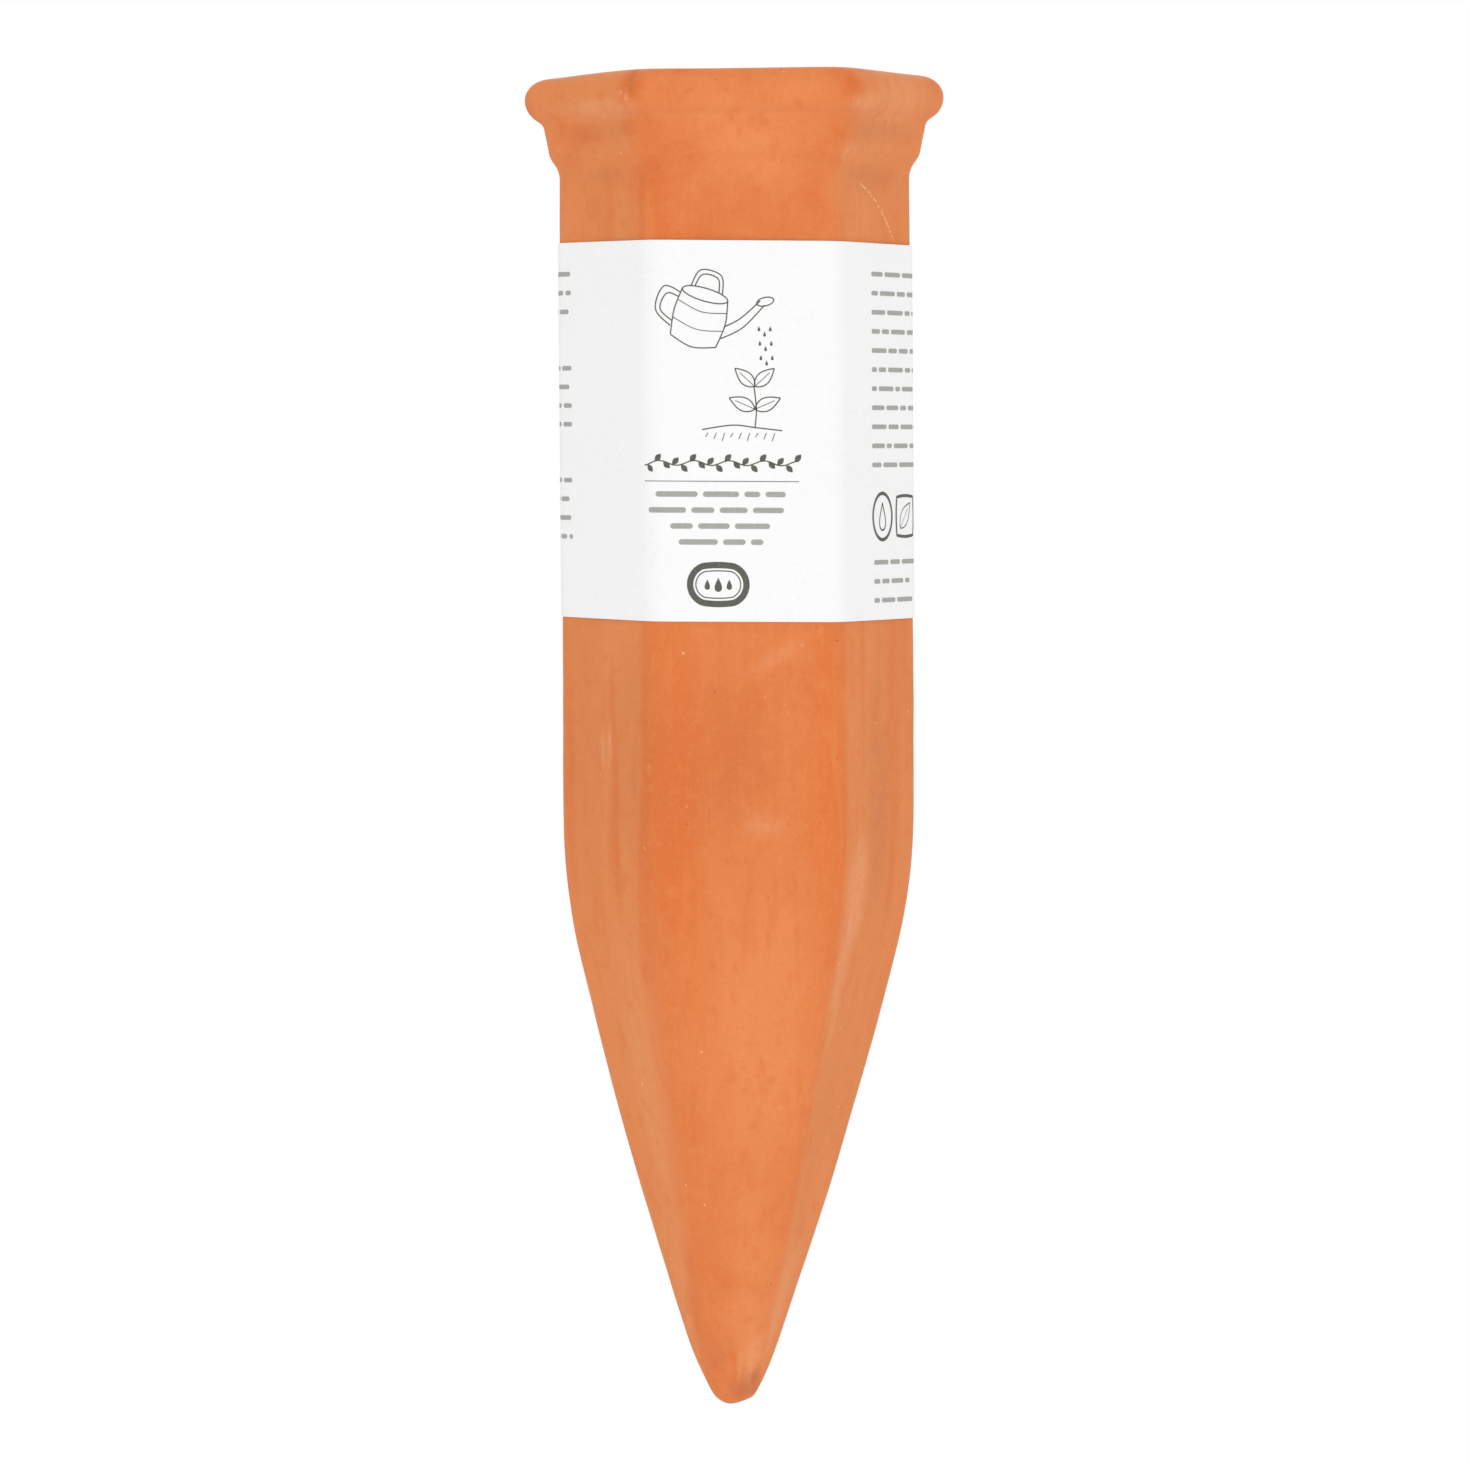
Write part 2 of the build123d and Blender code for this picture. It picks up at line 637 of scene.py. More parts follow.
    def bump(self, height: Flow, relief: Relief, under: Flow | None = None) -> Flow:
        """Turns a height map into a normal, on top of another normal if one is given.

        Args:
            height: The height map.
            relief: Its depth and strength.
            under: Normal that the bump stands on.

        Returns:
            The normal.
        """
        feeds = {"Distance": relief.depth, "Strength": relief.strength, "Height": height}
        if under is not None:
            feeds["Normal"] = under
        return Flow(self, self.add("Bump", feeds).outputs["Normal"])


@dataclass(frozen=True)
class Specks:
    """Scattered ragged specks: cells a metre with one speck each, its middle radius and the share kept."""

    colour: Colour
    scale: float
    radius: float
    kept: float
    strength: float
    squash: float = 0.8
    raggedness: float = 1.6
    least_size: float = 0.35
    rim: Pair = (1.10, 0.45)
    pick_edge: float = 0.01

    def over(self, recipe: Recipe, grain: Flow) -> Flow:
        """Where the specks are.

        A speck is the cell's distance, roughened by the grain and divided by its own size, under
        the middle radius. Its own pick decides whether it is kept.

        Args:
            recipe: The material in the making.
            grain: Fine noise that roughens their outlines.

        Returns:
            Their share, from 0 to 1.
        """
        distance, (pick, size, _) = recipe.cells(recipe.place((1.0, 1.0, self.squash)), self.scale)
        edge = self.radius * self.scale
        ragged = distance + (grain - 0.5) * (edge * self.raggedness)
        sized = ragged / (size + self.least_size)
        chosen = pick.window(1 - self.kept, 1 - self.kept + self.pick_edge)
        return sized.window(edge * self.rim[0], edge * self.rim[1]) * chosen


@dataclass(frozen=True)
class Scratch:
    """Faint curved scratch on the right face, in metres on the unrolled skin."""

    colour: Colour
    middle: Pair = (11.9 * MM, 143.6 * MM)
    radius: float = 22.5 * MM
    low: float = 156.5 * MM
    high: float = 165.6 * MM
    fade: float = 1.5 * MM
    line: Pair = (0.19 * MM, 0.06 * MM)
    side: Pair = (16.0 * MM, 20.0 * MM)
    dots: Noise = Noise(2400.0, 1.0, 0.5)
    dot_window: Pair = (0.42, 0.56)
    strength: float = 0.90

    def over(self, recipe: Recipe, around: Flow, height: Flow) -> Flow:
        """Where the scratch is.

        It is a thin ring round its middle, kept between two heights and on the right face alone,
        and broken into dots by noise.

        Args:
            recipe: The material in the making.
            around: Distance round the body.
            height: Height above the tip.

        Returns:
            Its share, from 0 to 1.
        """
        across = around - self.middle[0]
        rise = height - self.middle[1]
        off = recipe.math("ABSOLUTE", recipe.math("SQRT", across * across + rise * rise) - self.radius)
        ends = height.window(self.low, self.low + self.fade) * height.window(self.high, self.high - self.fade)
        dots = recipe.noise(recipe.place(), self.dots).window(*self.dot_window)
        return off.window(*self.line) * ends * (dots * around.window(*self.side))


@dataclass(frozen=True)
class ClayFinish:
    """Unglazed fired clay: orange, with dust and painted sheen on its side faces, rubbed corners and fine
    grit.
    """

    orange: Colour = paint(228, 128, 71)
    deep: Colour = paint(222, 112, 54)
    light: Colour = paint(235, 142, 83)
    # Dust and painted sheen: paler, less red clay on the faces turned from the front
    bloom: Colour = paint(230, 142, 84)
    dull: Colour = paint(215, 128, 72)
    rubbed: Colour = paint(229, 121, 58)
    # Pale marks, and painted light where pale patches lift the clay
    pale: Colour = paint(243, 174, 128)
    # Blush of the firing, and painted light where blushing patches brighten the clay
    blush: Colour = paint(240, 146, 86)
    # Stains, and painted shade where stained bands darken the clay
    stain: Colour = paint(186, 108, 68)
    grit: Colour = paint(252, 196, 142)
    hollow: Colour = paint(216, 119, 66)
    # Noises, from the broadest
    clouds: Noise = Noise(24.0, 2.0, 0.5)
    blotches: Noise = Noise(75.0, 4.0, 0.6)
    uneven: Noise = Noise(75.0, 3.0, 0.6)
    broad_streaks: Noise = Noise(430.0 / 3, 3.0, 0.55)
    streaks: Noise = Noise(430.0, 4.0, 0.6)
    mottle: Noise = Noise(420.0, 3.0, 0.6)
    grain: Noise = Noise(2400.0, 4.0, 0.65)
    uneven_stretch: float = 0.35
    streak_stretch: float = 0.09
    # Clouds and blotches of the firing
    deep_clouds: Layer = Layer(deep, 0.45, 0.68, 0.45)
    light_clouds: Layer = Layer(light, 0.48, 0.28, 0.45)
    light_blotches: Layer = Layer(light, 0.50, 0.72, 0.45)
    deep_blotches: Layer = Layer(deep, 0.46, 0.28, 0.40)
    # Dust and painted sheen on the side faces, and the rubbed clay along their edges
    dusty: Layer = Layer(bloom, 0.20, 0.50)
    dulled: Layer = Layer(dull, 0.46, 0.28, 0.25)
    worn: Layer = Layer(rubbed, 0.32, 0.60, 0.90)
    # Strokes of the maker's hand, broad and fine
    light_drag: Layer = Layer(light, 0.52, 0.70, 0.34)
    deep_drag: Layer = Layer(deep, 0.44, 0.26, 0.30)
    brushed: Layer = Layer(light, 0.52, 0.70, 0.42)
    scored: Layer = Layer(deep, 0.47, 0.30, 0.38)
    # Painted patches, among them painted light and painted shade, and the rim's worn edges
    blushing: Layer = Layer(blush, 0.20, 0.60)
    deepened: Layer = Layer(deep, 0.25, 0.55)
    smeared: Layer = Layer(pale, 0.25, 0.55)
    stained: Layer = Layer(stain, 0.25, 0.55)
    chalked: Layer = Layer(pale, 0.28, 0.66, 0.50)
    # Fine mottle and grain
    light_mottle: Layer = Layer(light, 0.52, 0.76, 0.40)
    deep_mottle: Layer = Layer(deep, 0.48, 0.26, 0.30)
    light_grain: Layer = Layer(light, 0.52, 0.70, 0.35)
    deep_grain: Layer = Layer(deep, 0.48, 0.32, 0.30)
    dark_specks: Specks = Specks(paint(160, 84, 46), 300.0, 0.16 * MM, 0.50, 0.38)
    pale_specks: Specks = Specks(grit, 380.0, 0.16 * MM, 0.40, 0.70)
    scratch: Scratch = Scratch(grit)
    # Where the streaks turn to blotches towards the rim, and how much stays of the strokes there
    rim_window: Pair = (162.0 * MM, 167.0 * MM)
    rim_calm: float = 0.35
    # The wavering edge of the dust and painted sheen, the breaks in its dull streaks, and how much it hides
    # of the strokes
    dust_sway: float = 1.6 * MM
    dust_window: Pair = (-0.9 * MM, 0.8 * MM)
    break_window: Pair = (0.36, 0.60)
    dust_cover: float = 0.40
    # How far the rubbed clay reaches from a corner's arc
    rub_sway: float = 9.0 * MM
    rub_window: Pair = (3.4 * MM, -0.4 * MM)
    streak_relief: Relief = Relief(0.18 * MM, 0.30)
    grain_relief: Relief = Relief(0.12 * MM, 0.45)
    pit_depth: float = 2.0
    roughness: float = 0.88
    specular: float = 0.30
    sheen: float = 0.30
    sheen_roughness: float = 0.25
    sheen_tint: Colour = (1.0, 0.92, 0.84, 1.0)

    def material(self) -> bpy.types.Material:
        """Builds the clay: layers of colour from the broadest to the finest, each by a noise.

        Returns:
            The material, which reads the painted attributes: the wear and painted sheen, the patches with
            their painted light and shade, and the unrolled skin.
        """
        recipe = Recipe(Slot.CLAY.value)
        (bloom, inset, edge), hollow = recipe.painted("wear")
        (pale, deep, blush), stain = recipe.painted("patches")
        (around, height, rub), _ = recipe.painted("unrolled")

        place = recipe.place()
        stretched = recipe.place((1.0, 1.0, self.streak_stretch))
        clouds = recipe.noise(place, self.clouds)
        blotches = recipe.noise(place, self.blotches)
        mottle = recipe.noise(place, self.mottle)
        grain = recipe.noise(place, self.grain)
        streaks = recipe.noise(stretched, self.streaks)
        uneven = recipe.noise(recipe.place((1.0, 1.0, self.uneven_stretch)), self.uneven)
        at_rim = height.window(*self.rim_window)
        smears = recipe.between(at_rim, recipe.noise(stretched, self.broad_streaks), blotches)
        strokes = recipe.between(at_rim, streaks, mottle)
        calm = recipe.between(at_rim, 1.0, self.rim_calm)

        # Dust and painted sheen on the flats, with a wavering edge towards the corners
        on_flat = bloom * (inset + (blotches - 0.5) * self.dust_sway).window(*self.dust_window)
        broken = uneven.window(*self.break_window)
        near_arc = (inset + (uneven - 0.5) * self.rub_sway).window(*self.rub_window)
        open_clay = (1.0 - on_flat * self.dust_cover) * calm

        colour = self.orange
        for layer, noise, share in (
            (self.deep_clouds, clouds, None),
            (self.light_clouds, clouds, None),
            (self.light_blotches, blotches, None),
            (self.deep_blotches, blotches, None),
            (self.blushing, blotches, blush),
            (self.dusty, smears, on_flat),
            (self.dulled, smears, on_flat * broken),
            (self.worn, streaks, near_arc * rub * (1.0 - on_flat)),
            (self.light_drag, smears, calm),
            (self.deep_drag, smears, broken * calm),
            (self.brushed, strokes, open_clay),
            (self.scored, strokes, open_clay),
            (self.deepened, blotches, deep),
            (self.smeared, streaks, pale),
            (self.stained, blotches, stain),
            (self.chalked, mottle, edge),
        ):
            colour = recipe.lay(colour, layer, noise, share)
        colour = recipe.blend(hollow, colour, self.hollow)
        for layer, noise in (
            (self.light_mottle, mottle),
            (self.deep_mottle, mottle),
            (self.light_grain, grain),
            (self.deep_grain, grain),
        ):
            colour = recipe.lay(colour, layer, noise)
        dark_specks = self.dark_specks.over(recipe, grain)
        colour = recipe.blend(dark_specks * self.dark_specks.strength, colour, self.dark_specks.colour)
        pale_specks = self.pale_specks.over(recipe, grain)
        colour = recipe.blend(pale_specks * self.pale_specks.strength, colour, self.pale_specks.colour)
        scratched = self.scratch.over(recipe, around, height)
        colour = recipe.blend(scratched * self.scratch.strength, colour, self.scratch.colour)

        streaked = recipe.bump(streaks, self.streak_relief)
        pitted = grain - dark_specks * self.pit_depth
        return recipe.finish(
            base_color=colour,
            roughness=self.roughness,
            specular_ior_level=self.specular,
            sheen_weight=self.sheen,
            sheen_roughness=self.sheen_roughness,
            sheen_tint=self.sheen_tint,
            normal=recipe.bump(pitted, self.grain_relief, streaked),
        )


@dataclass(frozen=True)
class PaperFinish:
    """Uncoated white paper with faint fibres."""

    white: Colour = paint(251, 251, 251)
    fibre: Colour = paint(246, 246, 245)
    fibres: Noise = Noise(1400.0, 4.0, 0.6)
    fibre_window: Pair = (0.45, 0.75)
    clouds: Noise = Noise(90.0, 2.0, 0.5)
    cloud_window: Pair = (0.30, 0.70)
    relief: Relief = Relief(0.03 * MM, 0.30)
    roughness: float = 0.80
    specular: float = 0.25

    def material(self) -> bpy.types.Material:
        """Builds the paper: white, with its fibres a little darker where its clouds are.

        Returns:
            The material.
        """
        recipe = Recipe(Slot.PAPER.value)
        place = recipe.place()
        fibres = recipe.noise(place, self.fibres)
        clouds = recipe.noise(place, self.clouds)
        shown = fibres.window(*self.fibre_window) * clouds.window(*self.cloud_window)
        return recipe.finish(
            base_color=recipe.blend(shown, self.white, self.fibre),
            roughness=self.roughness,
            specular_ior_level=self.specular,
            normal=recipe.bump(fibres, self.relief),
        )


@dataclass(frozen=True)
class InkFinish:
    """Matt printing ink, a little uneven where the paper's fibres took less of it."""

    name: str
    ink: Colour
    thin: Colour
    coverage: Noise = Noise(3200.0, 3.0, 0.6)
    thin_window: Pair = (0.48, 0.78)
    roughness: float = 0.60
    specular: float = 0.30

    def material(self) -> bpy.types.Material:
        """Builds the ink, which is thin where the coverage noise is high.

        Returns:
            The material.
        """
        recipe = Recipe(self.name)
        coverage = recipe.noise(recipe.place(), self.coverage)
        colour = recipe.blend(coverage.window(*self.thin_window), self.ink, self.thin)
        return recipe.finish(base_color=colour, roughness=self.roughness, specular_ior_level=self.specular)


@dataclass(frozen=True)
class GlueFinish:
    """Dried paper glue: cream, slightly glossy, with small ripples."""

    cream: Colour = paint(236, 228, 204)
    amber: Colour = paint(222, 206, 168)
    ripples: Noise = Noise(700.0, 3.0, 0.5)
    amber_window: Pair = (0.35, 0.75)
    relief: Relief = Relief(0.03 * MM, 0.40)
    roughness: float = 0.35

    def material(self) -> bpy.types.Material:
        """Builds the glue, which is more amber where its ripples are high.

        Returns:
            The material.
        """
        recipe = Recipe(Slot.GLUE.value)
        ripples = recipe.noise(recipe.place(), self.ripples)
        return recipe.finish(
            base_color=recipe.blend(ripples.window(*self.amber_window), self.cream, self.amber),
            roughness=self.roughness,
            normal=recipe.bump(ripples, self.relief),
        )


class Tint(Enum):
    """Kinds of patch painted on the clay, by their channels. Pale and blushing patches are partly painted
    light, and stains partly painted shade.
    """

    PALE = 0
    DEEP = 1
    BLUSH = 2
    STAIN = 3


@dataclass(frozen=True)
class Patch:
    """Patch on the unrolled skin, in millimetres from the front face's middle and the tip."""

    around: float
    height: float
    half_width: float
    half_height: float
    strength: float
    slant: float = 0.0
    crispness: float = 3.0

    def over(self, around: Array, height: Array) -> Array:
        """Strength of the patch, which fades as e to the minus its distance to a power.

        The power is the crispness, so a crisper patch keeps its strength nearer to its edge. The
        middle moves round the spike by the slant for each step of height.

        Args:
            around: Distances round the body, in metres.
            height: Heights above the tip, in metres.

        Returns:
            The strengths.
        """
        rise = height / MM - self.height
        across = around / MM - self.around - self.slant * rise
        far = (across / self.half_width) ** 2 + (rise / self.half_height) ** 2
        return self.strength * np.exp(-(far ** (self.crispness / 2)))


# Patches of the clay, some of them painted light and painted shade. The last ones of each tint, past 35 mm
# round, are on the back and are a guess.
CLAY_PATCHES: dict[Tint, tuple[Patch, ...]] = {
    Tint.PALE: (
        Patch(2.2, 80.0, 2.6, 1.5, 0.34),
        Patch(4.1, 102.4, 1.8, 2.6, 0.26, 1.5),
        Patch(-24.9, 90.2, 0.5, 2.6, 0.75),
        Patch(-22.9, 90.6, 0.45, 3.0, 0.75),
        Patch(18.2, 70.6, 3.1, 7.4, 0.40, 0.0, 6.0),
        Patch(16.6, 59.0, 1.9, 9.0, 0.30, 0.0, 4.0),
        Patch(-20.0, 175.0, 8.0, 1.3, 0.30),
        Patch(-14.4, 176.9, 0.3, 0.3, 0.80),
        Patch(-13.5, 176.2, 0.3, 0.3, 0.80),
        Patch(24.0, 176.0, 7.0, 4.5, 0.30),
        Patch(21.0, 169.5, 6.0, 3.0, 0.12),
        Patch(-21.0, 44.0, 5.5, 22.0, 0.17),
        Patch(-26.0, 16.0, 6.0, 11.0, 0.20),
        # The next two are painted light: pale over the front near the tip, and a thin pale band that lifts
        # the shade where the bead meets the neck
        Patch(4.0, 11.0, 12.0, 8.0, 0.12),
        Patch(0.0, 174.2, 15.0, 0.7, 0.09),
        Patch(-23.2, 92.0, 1.4, 17.0, 0.14),
        Patch(21.0, 14.0, 6.0, 9.0, 0.26),
        Patch(15.2, 175.4, 3.0, 1.2, 0.35),
        Patch(14.6, 169.0, 2.2, 1.1, 0.35),
        Patch(20.0, 161.0, 5.0, 5.0, 0.10),
        Patch(11.0, 6.8, 6.0, 3.4, 0.34),
        Patch(2.0, 5.5, 2.0, 2.4, 0.35),
        Patch(41.0, 78.0, 2.6, 8.0, 0.35),
        Patch(66.0, 58.0, 3.4, 5.0, 0.30, 0.4),
        Patch(-44.0, 96.0, 2.0, 6.0, 0.35),
        Patch(-60.0, 172.0, 5.0, 1.4, 0.30),
    ),
    Tint.DEEP: (
        Patch(-9.5, 84.0, 3.2, 17.0, 0.45),
        Patch(-1.5, 91.0, 6.0, 8.0, 0.35),
        Patch(-11.6, 166.6, 1.9, 1.5, 0.90),
        Patch(-12.8, 177.8, 1.7, 1.5, 0.80),
        Patch(-27.0, 171.8, 5.0, 1.6, 0.55),
        Patch(-15.2, 172.3, 1.5, 1.3, 0.50),
        Patch(-22.0, 166.2, 2.6, 1.5, 0.45),
        Patch(12.3, 177.6, 1.8, 1.8, 0.90),
        Patch(9.0, 162.5, 1.8, 5.0, 0.45),
        Patch(28.6, 86.0, 1.5, 30.0, 0.30),
        Patch(55.0, 100.0, 5.0, 12.0, 0.45),
        Patch(-36.0, 176.0, 2.2, 2.0, 0.70),
        Patch(-70.0, 70.0, 4.0, 18.0, 0.40),
    ),
    Tint.BLUSH: (
        # The first two and the fourth are painted light: brighter clay over the front of the lower taper, by
        # the tip and on the collar's front
        Patch(3.0, 50.0, 10.5, 24.0, 0.80),
        Patch(6.0, 15.0, 13.0, 11.0, 0.75),
        Patch(-19.0, 170.0, 7.0, 3.5, 0.55),
        Patch(0.0, 170.5, 13.0, 9.0, 0.80),
        Patch(-20.0, 45.0, 6.0, 20.0, 0.60),
        Patch(60.0, 150.0, 12.0, 14.0, 0.50),
    ),
    Tint.STAIN: (
        Patch(-3.0, 88.0, 7.0, 11.0, 0.16),
        Patch(-17.0, 90.0, 6.0, 14.0, 0.22),
        Patch(-29.5, 96.0, 5.0, 26.0, 0.16),
        Patch(24.0, 84.0, 3.4, 17.0, 0.30),
        Patch(20.0, 36.0, 5.0, 14.0, 0.12),
        # Painted shade: darker bands under the bead and in the cove on the left face
        Patch(-21.0, 171.8, 9.0, 1.6, 0.18),
        Patch(-20.0, 166.0, 9.0, 1.4, 0.20),
        Patch(-11.9, 166.0, 1.9, 1.4, 0.45),
        # Painted shade: darker bands under the bead and in the cove on the right face
        Patch(21.0, 171.8, 9.0, 1.6, 0.32),
        Patch(23.0, 165.6, 8.0, 1.8, 0.26),
        Patch(-10.0, 7.0, 6.0, 2.6, 0.34),
        Patch(-4.0, 9.0, 2.0, 1.4, 0.22),
        Patch(12.0, 2.6, 16.0, 2.1, 0.60),
        Patch(15.0, 4.4, 4.0, 1.2, 0.40),
        Patch(62.0, 2.6, 10.0, 1.5, 0.50),
    ),
}


@dataclass(frozen=True)
class EdgeWear:
    """Wear along one long edge of the body, in millimetres.

    It is rubbed most at the middle height. The reach is how far the dust and painted sheen
    come over it, the taper's reach how much further they come halfway up the taper, and the
    neck's reach how much further above the band.
    """

    middle: float
    half_height: float
    dust: float
    taper_dust: float = 0.0
    neck_dust: float = 0.0


@dataclass(frozen=True)
class WornFlat:
    """Soft flat worn into the tip, so many millimetres deep, with the direction that it faces."""

    facing: Triple
    depth: float


@dataclass(frozen=True)
class Crease:
    """Short upright crease in the bead: its direction in degrees, and its place on the unrolled skin."""

    angle: float = -31.5
    half_angle: float = 0.7
    depth: float = 0.09 * MM
    around: float = -12.7 * MM
    half_width: float = 0.35 * MM
    stain: float = 0.45
    below_top: Pair = (5.0 * MM, 3.0 * MM)


@dataclass(frozen=True)
class ChalkedRing:
    """Chalky ring at the rim: how far out of its edge, its half width, how far down, and its strength."""

    offset: float
    half_width: float
    drop: float
    strength: float

    def over(self, flat: Array, edge: float, below_top: Array) -> Array:
        """Strength of the ring along an edge at some distance: a bell across it, down to its drop."""
        return self.strength * bell(flat, edge + self.offset, self.half_width) * (below_top < self.drop)


@dataclass
class ClayBody:
    """Hollow spike of fired clay: blunt tip, long taper, six-sided body, collar, bead rim and hollow."""

    total: float
    body_flat: float = 21.1 * MM
    body_corner: float = 4.0 * MM
    rim_corner: float = 5.2 * MM
    roundest_corner: float = 0.9
    # Taper, and the round cap at its tip
    tip_radius: float = 4.4 * MM
    taper_length: float = 80.0 * MM
    turn_radius: float = 90.0 * MM
    turn_slope: float = 12.2
    # Collar: the cove under it, its roll and straight run, and the neck under the bead
    cove_radius: float = 4.2 * MM
    cove_heading: float = 36.0
    roll_radius: float = 4.0 * MM
    roll_heading: float = 10.0
    roll_run: float = 3.2 * MM
    neck_radius: float = 1.6 * MM
    neck_heading: float = 56.0
    # Bead, and the mouth's edge
    bead_low_radius: float = 3.5 * MM
    bead_top_radius: float = 2.8 * MM
    mouth_edge: float = 1.5 * MM
    # Hollow
    bore_radius: float = 16.0 * MM
    hollow_top: float = 88.0 * MM
    hollow_bottom: float = 16.6 * MM
    hollow_cap: float = 3.4 * MM
    # Sideways lean of the taper
    tip_lean: float = 1.50 * MM
    lean_top: float = 76.0 * MM
    lean_ease: float = 10.0 * MM
    # Unevenness of the skin, which comes in over these distances from the axis
    waviness: float = 0.05 * MM
    broad_waves: Waves = Waves(seed=11, count=18, most_turns=5, shortest=22 * MM, longest=120 * MM)
    broad_middle: float = 0.9
    small_waves: Waves = Waves(seed=29, count=26, most_turns=16, shortest=5 * MM, longest=26 * MM)
    small_share: float = 0.30
    hollow_share: float = 2.0
    wave_start: Pair = (0.5 * MM, 6.0 * MM)
    # Slimness towards the collar, which comes in over these shares of the whole height
    neck_slimness: float = 0.10 * MM
    slim_from: Pair = (0.60, 0.90)
    # Unevenness of the rim, which comes in over these distances below the top
    rim_waves: Waves = Waves(seed=5, count=8, most_turns=4, shortest=60 * MM, longest=90 * MM)
    rim_from: Pair = (15.0 * MM, 4.0 * MM)
    rim_wobble: float = 0.16 * MM
    side_middle: float = 0.5
    top_middle: float = 0.7
    top_shift: float = 1.0
    rim_slimness: float = 0.22 * MM
    rim_droop: float = 0.46 * MM
    droop_shares: Pair = (0.4, 0.6)
    # How closely the droop keeps to both sides, and the droop and slimness to the left one
    both_sides: int = 6
    left_side: int = 4
    crease: Crease = Crease()
    # Flats worn into the tip, which come in over these heights
    worn_flats: tuple[WornFlat, ...] = (
        WornFlat((-0.90, 0.00, -0.43), 0.66),
        WornFlat((-0.64, -0.15, -0.75), 0.30),
        WornFlat((0.30, -0.10, -0.95), 0.14),
        WornFlat((0.88, -0.12, -0.45), 0.24),
        WornFlat((0.45, -0.62, -0.64), 0.45),
    )
    worn_softness: float = 0.22 * MM
    worn_from: Pair = (10.0 * MM, 7.0 * MM)
    # Grid of the skin
    columns: int = 288
    corner_crowding: float = 0.55
    fine_step: float = 0.42 * MM
    coarse_step: float = 1.15 * MM
    # Dust and painted sheen of each face from the front one towards +X, and the loss of it where
    # the sides turn away, which comes and goes over these degrees from the front
    bloom_by_face: tuple[float, ...] = (0.06, 0.80, 0.70, 0.55, 0.80, 0.88)
    bloom_from: Pair = (1.0 * MM, 12.0 * MM)
    side_loss: float = 0.14
    side_start: Pair = (52.0, 78.0)
    side_end: Pair = (98.0, 90.0)
    # Wear of each long edge from the right front one towards +X, and where its dust and painted sheen reach
    # further
    edges: tuple[EdgeWear, ...] = (
        EdgeWear(82.0, 24.0, 0.1, 0.0, 1.5),
        EdgeWear(58.0, 26.0, 1.5),
        EdgeWear(112.0, 30.0, 0.9),
        EdgeWear(90.0, 36.0, 0.5),
        EdgeWear(124.0, 26.0, 1.5),
        EdgeWear(84.0, 24.0, -0.7, -2.6),
    )
    on_taper: Pair = (52.0 * MM, 28.0 * MM)
    on_neck: Pair = (140.0 * MM, 156.0 * MM)
    least_rub: float = 0.25
    chalked_bead: ChalkedRing = ChalkedRing(0.0, 1.1 * MM, 1.2 * MM, 0.8)
    chalked_mouth: ChalkedRing = ChalkedRing(0.5 * MM, 0.9 * MM, 1.5 * MM, 1.0)
    patches: dict[Tint, tuple[Patch, ...]] = field(default_factory=lambda: CLAY_PATCHES)
    finish: ClayFinish = field(default_factory=ClayFinish)

    def moulding(self, line: Outline) -> Outline:
        """Grows the collar and the bead's outside, from the straight body to the bead's top.

        Args:
            line: The side line so far.

        Returns:
            The same line.
        """
        step, corner = self.fine_step, self.rim_corner
        line.arc(self.cove_radius, self.cove_heading, self.body_corner, step)
        line.arc(self.roll_radius, self.roll_heading, corner, step)
        line.run(self.roll_run, corner, step)
        line.arc(self.neck_radius, self.neck_heading, corner, step)
        line.arc(self.bead_low_radius, STRAIGHT_UP, corner, step)
        line.arc(self.bead_top_radius, INWARDS, corner, step)
        return line

    def outline(self) -> tuple[Outline, int]:
        """Grows the whole side line: from the tip up the outside, over the rim and down the hollow.

        The straight body takes the height that the taper and the moulding leave. Each round cap
        ends where its slope meets the arc above it.

        Returns:
            The outline, and how many of its points lie outside the mouth.
        """
        coarse, fine = self.coarse_step, self.fine_step
        turn_in = self.turn_radius * (1 - cos(radians(self.turn_slope)))
        turn_drop = self.turn_radius * sin(radians(self.turn_slope))
        top = (self.body_flat - turn_in, self.taper_length - turn_drop)
        slope = cap_slope(*top, self.turn_slope, self.tip_radius, 0.0)
        line = Outline(0.0, 0.0, OUTWARDS, self.body_corner)
        line.arc(self.tip_radius, slope, self.body_corner, fine)
        line.sweep_to(*top, self.body_corner, coarse)
        line.arc(self.turn_radius, STRAIGHT_UP, self.body_corner, coarse)
        rise = self.moulding(Outline(0.0, 0.0, STRAIGHT_UP, self.body_corner)).points[-1, 1]
        line.run(self.total - rise - self.taper_length, self.body_corner, coarse)
        self.moulding(line)
        lip = line.points[-1, 0] - self.bore_radius - self.mouth_edge
        line.run(lip, self.bore_radius + self.mouth_edge, 2 * fine)
        outside = len(line.points)
        line.arc(self.mouth_edge, STRAIGHT_DOWN, self.bore_radius, fine)
        line.run(line.points[-1, 1] - self.hollow_top, self.bore_radius, 3 * coarse)
        lower = cap_slope(self.bore_radius, self.hollow_top, 0.0, self.hollow_cap, self.hollow_bottom)
        end = self.hollow_cap * cos(radians(lower))
        end_height = self.hollow_bottom + self.hollow_cap * (1 - sin(radians(lower)))
        line.sweep_to(end, end_height, end, 3 * coarse)
        line.arc(self.hollow_cap, INWARDS, self.hollow_cap, 2 * fine)
        return line, outside

